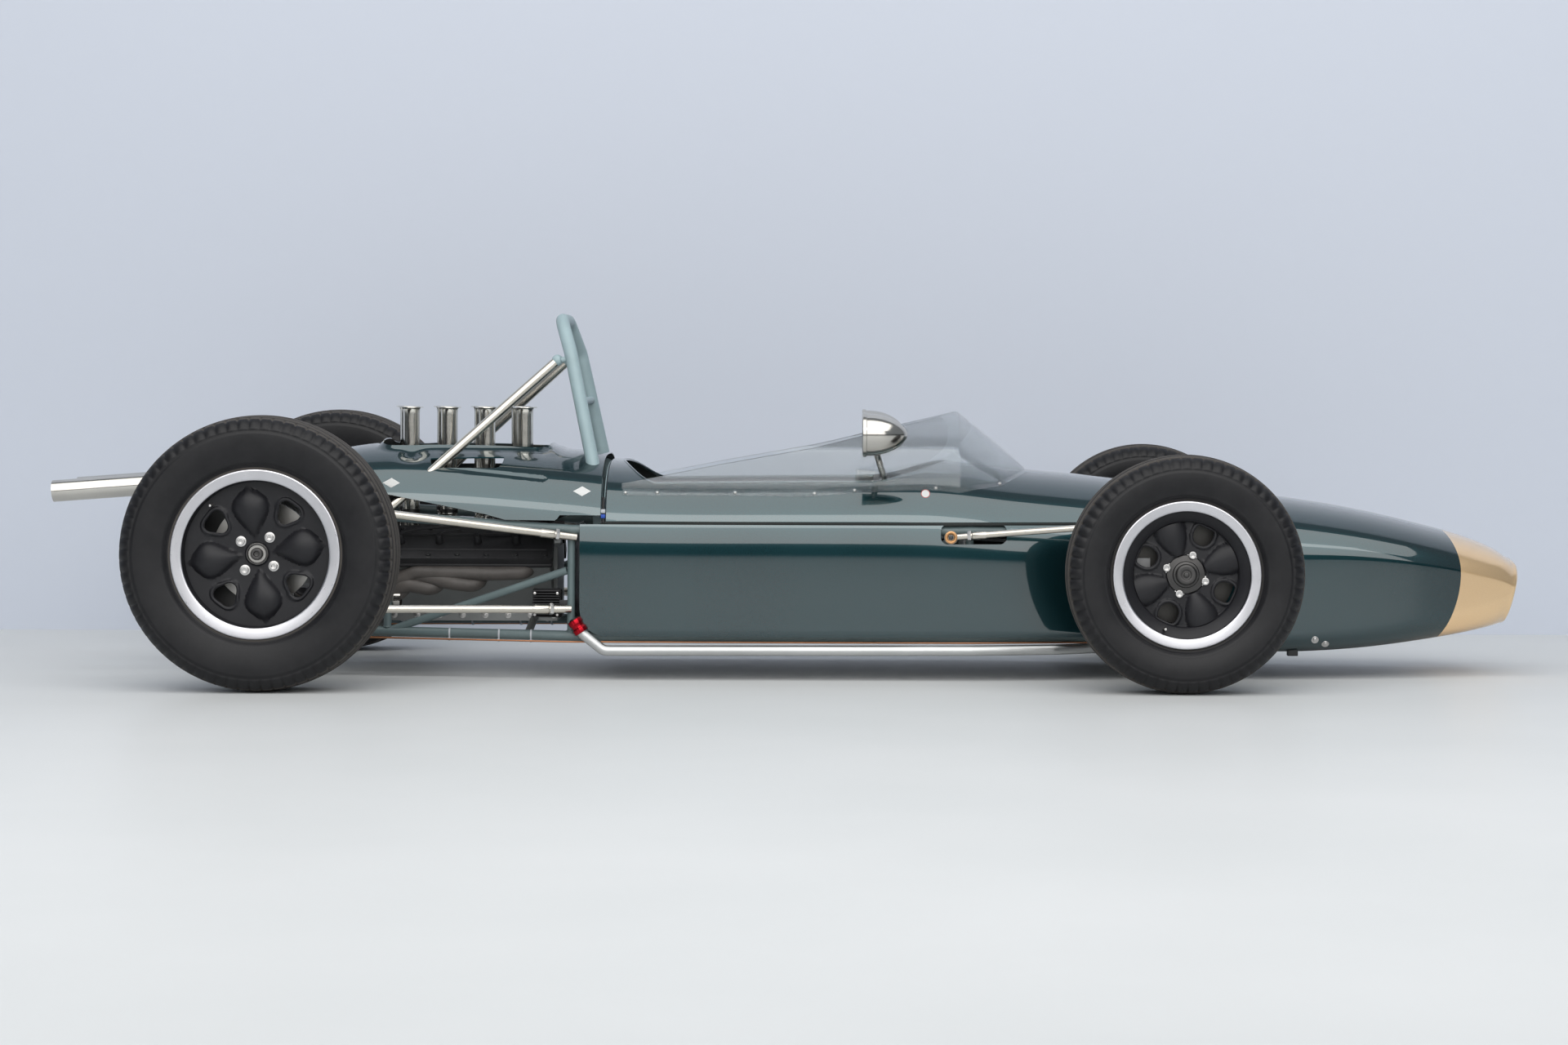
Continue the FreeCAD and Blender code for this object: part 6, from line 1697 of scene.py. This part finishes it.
def rounded_box(low, high, radius, turns=6):
    """A box with round edges: rings of a rounded rectangle, drawn in along an arc at both ends."""
    low, high = np.array(low, dtype=float), np.array(high, dtype=float)
    middle, half = (low + high) / 2, (high - low) / 2
    radius = min(radius, *(half * 0.98))
    angle = np.concatenate([np.linspace(quarter * PI / 2, (quarter + 1) * PI / 2, turns)
                            for quarter in range(4)])
    quarter = np.repeat(np.arange(4), turns)
    corner = np.stack([np.array([1, -1, -1, 1])[quarter], np.array([1, 1, -1, -1])[quarter]], -1)
    rings = []
    for below in (True, False):
        for lift in np.linspace(-PI / 2, 0, turns) if below else np.linspace(0, PI / 2, turns):
            flat = corner * (half[:2] - radius) + radius * math.cos(lift) * np.stack(
                [np.cos(angle), np.sin(angle)], -1)
            height = (half[2] - radius) * (-1 if below else 1) + radius * math.sin(lift)
            rings.append(np.column_stack([flat, np.full(len(flat), height)]) + middle)
    first, last = rings[0].mean(axis=0), rings[-1].mean(axis=0)
    return np.array([np.tile(first, (len(angle), 1)), *rings, np.tile(last, (len(angle), 1))])


def boxed(low, high, radius, turns=6, paint=0):
    """A round-edged box as one of a piece's sheets."""
    return rounded_box(low, high, radius, turns), False, True, paint


def cam_cover_detail():
    """Two ribs and a ledge along each cover, bolts each side of them and four plug caps with their leads."""
    sheets = []
    for side in (LEFT, RIGHT):
        out = np.array([0, side * 0.7071, 0.7071])
        aside = np.array([0, side * 0.7071, -0.7071])
        face = np.array([0, side * 0.2013, 0.3463])
        for offset in (-0.026, 0.026):
            line = [face + aside * offset + (x, 0, 0) - out * 0.0004 for x in np.linspace(-1.080, -0.620, 30)]
            sheets.append(piped(line, 0.0036, 10))
        ledge_at = face + aside * 0.056 - out * 0.026
        line = [ledge_at + (x, 0, 0) for x in np.linspace(-1.094, -0.606, 30)]
        sheets.append(piped(line, 0.0062, 12))
        for x in np.linspace(-1.078, -0.622, 7):
            for offset in (-0.046, 0.046):
                bolt = milled([(0, 6.2), (5, 6.2), (5.4, 5.4), (5.4, 0.8), (9.2, 0.8), (9.2, -1),
                               (0, -1)], 0.5)
                sheets.append(spun(bolt, face + aside * offset + (x, 0, 0), out, 18, paint=1))
        for number, x in enumerate(CYLINDERS):
            cap = milled([(0, 30), (7.5, 30), (9, 20), (11, 0), (0, 0)], 2)
            spot = face + (x, 0, 0)
            sheets.append(spun(cap, spot, out, 22))
            lead = smooth_route([spot + out * 0.026, spot + out * 0.040 + (0.006, 0, 0),
                                 spot + out * 0.034 - aside * 0.016 + (0.050, 0, 0),
                                 (-0.600, side * (0.150 + 0.009 * number), 0.405)], 0.02)
            sheets.append(piped(lead, 0.0034, 10))
    piece = sheets_piece("cam_cover_detail", sheets, [CRACKLE, BLACK_STEEL])


def finned_box():
    """The electrical box: a plain back half and eleven thin level fins on its outer half."""
    sheets = [boxed((-0.648, -0.296, 0.157), (-0.574, -0.262, 0.230), 0.003)]
    for z in np.linspace(0.160, 0.227, 11):
        sheets.append(boxed((-0.646, -0.322, z - 0.0013), (-0.576, -0.292, z + 0.0013), 0.0006, 3))
    for x in (-0.640, -0.582):
        for z in (0.166, 0.221):
            screw = milled([(0, 2), (3.5, 1.8), (4, 0), (0, 0)], 0.5)
            sheets.append(spun(screw, (x, -0.322, z), (0, -1, 0), 14, paint=1))
    sheets.append(boxed((-0.576, -0.328, 0.184), (-0.550, -0.322, 0.204), 0.001, 3))
    piece = sheets_piece("electrical_box_finned", sheets, [CRACKLE, STEEL])
    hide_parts("ignition_box")


HEADERS = (
    ((-0.665, 0.185, 0.288), (-0.672, 0.214, 0.269), (-0.760, 0.223, 0.266), (-0.960, 0.218, 0.268),
     (-1.030, 0.208, 0.236), (-1.085, 0.205, 0.203)),
    ((-0.790, 0.176, 0.268), (-0.797, 0.218, 0.233), (-0.860, 0.224, 0.241), (-0.985, 0.207, 0.262),
     (-1.075, 0.204, 0.206)),
    ((-0.897, 0.176, 0.262), (-0.905, 0.217, 0.223), (-0.980, 0.218, 0.236), (-1.070, 0.207, 0.204)),
    ((-0.985, 0.176, 0.256), (-0.993, 0.210, 0.214), (-1.070, 0.206, 0.201)),
)


def header_pipes():
    """Four bent pipes a side sweep back and up from the ports, then drop together into the collector."""
    sheets = []
    for side in (LEFT, RIGHT):
        for corners in HEADERS:
            route = smooth_route([np.array(corner) * (1, side, 1) for corner in corners], 0.040, 0.004)
            sheets.append(piped(route, 0.0190, 26))
            ring = milled([(18.5, -4), (27.5, -4), (27.5, 4), (18.5, 4)], 1)
            flange_at = route[0] + (0, side * 0.004, -0.002)
            sheets.append(spun(ring + [ring[0]], flange_at, route[1] - route[0], 30))
    piece = sheets_piece("header_pipes", sheets, [IRON])
    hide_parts("exhaust_headers")


def breather_strap():
    """A pale and a blue band round a hose in the gap ahead of the engine cover, on the right."""
    sheets = [piped([(-0.463, -0.341, z) for z in np.linspace(0.405, 0.470, 12)], 0.0040, 14)]
    for low, paint in ((0.4290, 1), (0.4160, 2)):
        sheets.append(boxed((-0.4690, -0.3495, low), (-0.4575, -0.3360, low + 0.0100), 0.002, 4, paint=paint))
    colours = [BLACK_STEEL, TIE_PLASTIC, BAND_BLUE]
    piece = sheets_piece("breather_hose_bands", sheets, colours)


def pipe_clamp():
    """A red anodised clamp: two knurled collars, their rims rippled round, joined by a narrower waist."""
    sheets = []
    for side in (LEFT, RIGHT):
        head, foot = np.array((-0.535, side * 0.352, 0.152)), np.array((-0.513, side * 0.352, 0.118))
        axis = (foot - head) / np.linalg.norm(foot - head)
        profile = milled([(13.7, -4), (18.5, -3), (19, 9), (16.5, 11), (16, 18), (16.5, 20), (19, 22),
                          (18.5, 34), (13.7, 35)], 1.2)
        points = turned(profile, head, axis, 60)
        centre = head + ((points - head) @ axis)[..., None] * axis
        ripple = 1 + 0.018 * np.sign(np.sin(np.arange(60) * 2 * PI / 5))[:, None, None]
        sheets.append((centre + (points - centre) * ripple, True, False, 0))
        plug = milled([(0, -7), (10, -7), (13.7, -4), (13.7, 0), (0, 0)], 1)
        sheets.append(spun(plug, head, axis, 30, paint=1))
    piece = sheets_piece("water_pipe_clamps", sheets, [RED_ANODISED, HUB_STEEL])


def bulkheads():
    """An alloy firewall ahead of the engine, and a sheet in lighter paint filling the arch behind the driver:
    painted light.

    The sheet's upper edge follows the skin's height across the car."""
    wall = [boxed((-0.5602, -0.255, 0.120), (-0.5588, 0.255, 0.384), 0.0006, 3)]
    fire = sheets_piece("firewall", wall, [SHEET])
    share, y = np.meshgrid(np.linspace(0, 1, 12), np.linspace(-0.335, 0.335, 90), indexing="ij")
    top = upper_height(BODY_STATIONS, np.full(y.shape, -0.461), y) - 0.0045
    face = np.stack([np.full(y.shape, -0.4606), y, 0.425 + (top - 0.425) * share], -1)
    thick = 0.0012 * (1 - (np.abs(y) / 0.335) ** 40)
    back = face - np.stack([thick, 0 * y, 0 * y], -1)
    loop = np.concatenate([face, back[::-1]])
    # The arch lies in shade; its sheet takes the hoop's lighter paint as painted light.
    lit_arch_filler = sheets_piece("arch_bulkhead_painted_light", [(loop, True, False, 0)], [HOOP_PAINT_LIT])


def rail_pipe():
    """A copper pipe under each lower rail, tied to it with pale straps whose cut tails hang down."""
    pipe, ties = [], []
    for side in (LEFT, RIGHT):
        corners = [(-1.250, 0.2240, 0.1020), (-0.546, 0.3400, 0.0975), (0.480, 0.3400, 0.0975),
                   (0.960, 0.2720, 0.0975)]
        route = smooth_route([np.array(corner) * (1, side, 1) for corner in corners], 0.15, 0.02)
        span = np.linspace(0, len(route) - 1, 260)
        route = np.stack([np.interp(span, np.arange(len(route)), route[:, k]) for k in range(3)], -1)
        pipe.append(piped(route, 0.0024, 10))
        for x, y, z in ((-0.864, 0.2729, 0.1146), (-0.734, 0.2942, 0.1135), (-0.650, 0.3080, 0.1129)):
            turn = np.linspace(0, 2 * PI, 40, endpoint=False)
            reach = 0.0140 + 0.0052 * np.clip(-np.sin(turn) - 0.5, 0, 1)
            band = []
            for shift, grow in ((-0.0022, 0), (0.0022, 0), (0.0022, -0.0012), (-0.0022, -0.0012)):
                band.append(np.stack([np.full(40, x + shift), side * (y + (reach + grow) * np.cos(turn)),
                                      z + (reach + grow) * np.sin(turn)], -1))
            ties.append((np.array(band), True, True, 0))
            ties.append(boxed((x - 0.0030, side * (y + 0.0125) - 0.0025, z - 0.0190),
                              (x + 0.0030, side * (y + 0.0125) + 0.0025, z - 0.0105), 0.0008, 3))
    line = sheets_piece("rail_copper_pipe", pipe, [COPPER])
    straps = sheets_piece("rail_ties", ties, [TIE_PLASTIC])


RED_ANODISED = bare_metal("red_anodised", (0.42, 0.012, 0.022), 0.30, (200, 200, 200), 0.08)
COPPER = bare_metal("copper_pipe", (0.46, 0.22, 0.12), 0.36, (60, 300, 300), 0.12)
BAND_BLUE = sprayed("band_blue", (0.010, 0.060, 0.360), 0.45, 0.05)
TIE_PLASTIC = sprayed("tie_plastic", (0.42, 0.44, 0.47), 0.55, 0.10)
cam_cover_detail()
finned_box()
header_pipes()
breather_strap()
pipe_clamp()
bulkheads()
rail_pipe()

# ---------------------------------------------------------------- body fasteners and plates
# Screws along the nose's lower edge, blank pale plates on the engine cover, and a plain red-edged disc
# beside the screen. The gearbox casting is set in last.


def body_plates():
    """Plates as small grids laid on the skin: diamonds and a disc drawn in (along, up) and pushed out."""
    pale, red = [], []
    for side in (LEFT, RIGHT):
        for x_mid, z_mid in ((-0.520, 0.484), (-1.020, 0.502)):
            share = np.linspace(0, 1, 6)[:, None]
            turn = np.linspace(0, 2 * PI, 24, endpoint=False)[None, :]
            reach = 1 / (np.abs(np.cos(turn)) / 0.023 + np.abs(np.sin(turn)) / 0.0125)
            x = x_mid + share * reach * np.cos(turn)
            z = z_mid + share * reach * np.sin(turn)
            y = skin_width(COVER_STATIONS, x, z) + 0.0009 * (1 - share ** 8)
            pale.append((np.stack([x, side * y, z], -1), False, True, 0))
        share = np.linspace(0, 1, 9)[:, None]
        turn = np.linspace(0, 2 * PI, 40, endpoint=False)[None, :]
        x = 0.366 + share * 0.0115 * np.cos(turn)
        z = 0.4810 + share * 0.0105 * np.sin(turn)
        y = skin_width(BODY_STATIONS, x, z) + 0.0007 * (1 - share ** 10)
        disc = np.stack([x, side * y, z], -1)
        pale.append((disc[:8], False, True, 0))
        red.append((disc[7:], False, True, 0))
    plates = sheets_piece("body_plates_blank", pale, [PLATE_WHITE])
    edges = sheets_piece("body_disc_edges", red, [EDGE_RED])


def body_screws():
    """Round screw heads in dished washers along the nose's lower edge, and two brackets."""
    sheets = []
    head = milled([(0, 2.2), (4, 2), (5.5, 1), (5.8, 0.2), (9, 0.9), (9.8, 0), (9.8, -2), (0, -2)], 0.6)
    for side in (LEFT, RIGHT):
        for x, girth in ((1.377, 0.262), (1.405, 0.246), (1.060, 0.262), (1.240, 0.262)):
            station = np.array([x])
            spot = skin_ring(BODY_STATIONS, station, np.array([girth]))[0]
            near = skin_ring(BODY_STATIONS, station, np.array([girth + 0.004]))[0]
            along = near - spot
            out = np.array([0, along[2], -along[1]]) / np.linalg.norm(along)
            sheets.append(spun(head, spot * (1, side, 1), out * (1, side, 1), 24))
    piece = sheets_piece("body_screws", sheets, [STEEL])
    brackets = []
    for side in (LEFT, RIGHT):
        y = sorted((side * 0.232, side * 0.252))
        brackets.append(boxed((1.308, y[0], 0.060), (1.336, y[1], 0.118), 0.003))
    jaw = sheets_piece("nose_brackets", brackets, [BLACK_STEEL])


def gearbox_casting():
    """The transaxle: round-edged case with ribs, a turned side cover for each shaft, bolts round every
    joint, a bolted rear cover and the turned tail housing."""
    sheets = [boxed((-1.496, -0.101, 0.219), (-1.104, 0.101, 0.421), 0.022, 8)]
    bolt = milled([(0, 8.5), (6.2, 8.5), (6.6, 7.8), (6.6, 2), (10, 1.8), (10, -1), (0, -1)], 0.6)
    for x in (-1.118, -1.478):
        sheets.append(boxed((x - 0.008, -0.1045, 0.2155), (x + 0.008, 0.1045, 0.4245), 0.004))
    tail = milled([(0, -2), (92, -2), (92, 12), (72, 14), (69, 30), (60, 70), (52, 74), (50, 88),
                   (0, 88)], 4)
    sheets.append(spun(tail, (-1.496, 0, 0.320), (-1, 0, 0), 60))
    for number in range(8):
        turn = 2 * PI * (number + 0.5) / 8
        spot = np.array((-1.508, 0.082 * math.cos(turn), 0.320 + 0.082 * math.sin(turn)))
        sheets.append(spun(bolt, spot, (-1, 0, 0), 16, paint=1))
    for side in (LEFT, RIGHT):
        for x in np.linspace(-1.445, -1.155, 6):
            sheets.append(boxed((x - 0.003, side * 0.0995 - 0.004, 0.232),
                                (x + 0.003, side * 0.0995 + 0.004, 0.408), 0.002, 3))
        cover = milled([(0, 4.5), (34, 4.5), (40, 1), (74, 0.5), (78, -2), (78, -14), (0, -14)], 2)
        sheets.append(spun(cover, (-1.287, side * 0.104, 0.341), (0, side, 0), 60))
        for number in range(8):
            turn = 2 * PI * number / 8
            spot = np.array((-1.287 + 0.066 * math.cos(turn), side * 0.1045, 0.341 + 0.066 * math.sin(turn)))
            sheets.append(spun(bolt, spot, (0, side, 0), 16, paint=1))
        for z in (0.236, 0.290, 0.345, 0.400):
            for x, ahead in ((-1.110, 1), (-1.486, -1)):
                sheets.append(spun([(r * 0.8, h) for r, h in bolt], (x + ahead * 0.0008, side * 0.090, z),
                                   (ahead, 0, 0), 14, paint=1))
    piece = sheets_piece("gearbox_casting", sheets, [CAST, STEEL])
    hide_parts("gearbox")


PLATE_WHITE = sprayed("plate_white", (0.62, 0.63, 0.62), 0.45, 0.04)
EDGE_RED = sprayed("edge_red", (0.45, 0.05, 0.04), 0.45, 0.06)
gearbox_casting()
body_plates()
body_screws()

# ---------------------------------------------------------------- rear disc guards
# Folded black sheet guards on the rear uprights' carriers, on the trailing side of each disc, so that the
# wheels' windows look onto dark metal, which is painted shade inside the wheels.
def painted_shade_guards():
    """An L-shaped profile of (radius, distance across) swept round the axle from one angle to another."""
    profile = milled([(45, 606), (171, 606), (172.5, 607.5), (172.5, 617), (171, 617), (171, 609),
                      (169.5, 607.5), (45, 607.5), (45, 606)], 0.4)
    radius, across = np.asarray(profile, dtype=float).T
    turn = np.radians(np.linspace(118, 258, 49))[:, None]
    centre = WHEELS["rear"][0]
    guards = []
    for side in (LEFT, RIGHT):
        sweep = np.stack([centre[0] + radius * np.cos(turn), side * across + 0 * turn,
                          centre[2] + radius * np.sin(turn)], -1)
        ends = [np.repeat(sweep[k].mean(axis=0)[None, None], len(radius), 1) for k in (0, -1)]
        guards.append((np.concatenate([ends[0], sweep, ends[1]]), False, True, 0))
    # Black so that the windows look dark: painted shade.
    piece = sheets_piece("rear_painted_shade_guards", guards, [BLACK_STEEL])


painted_shade_guards()
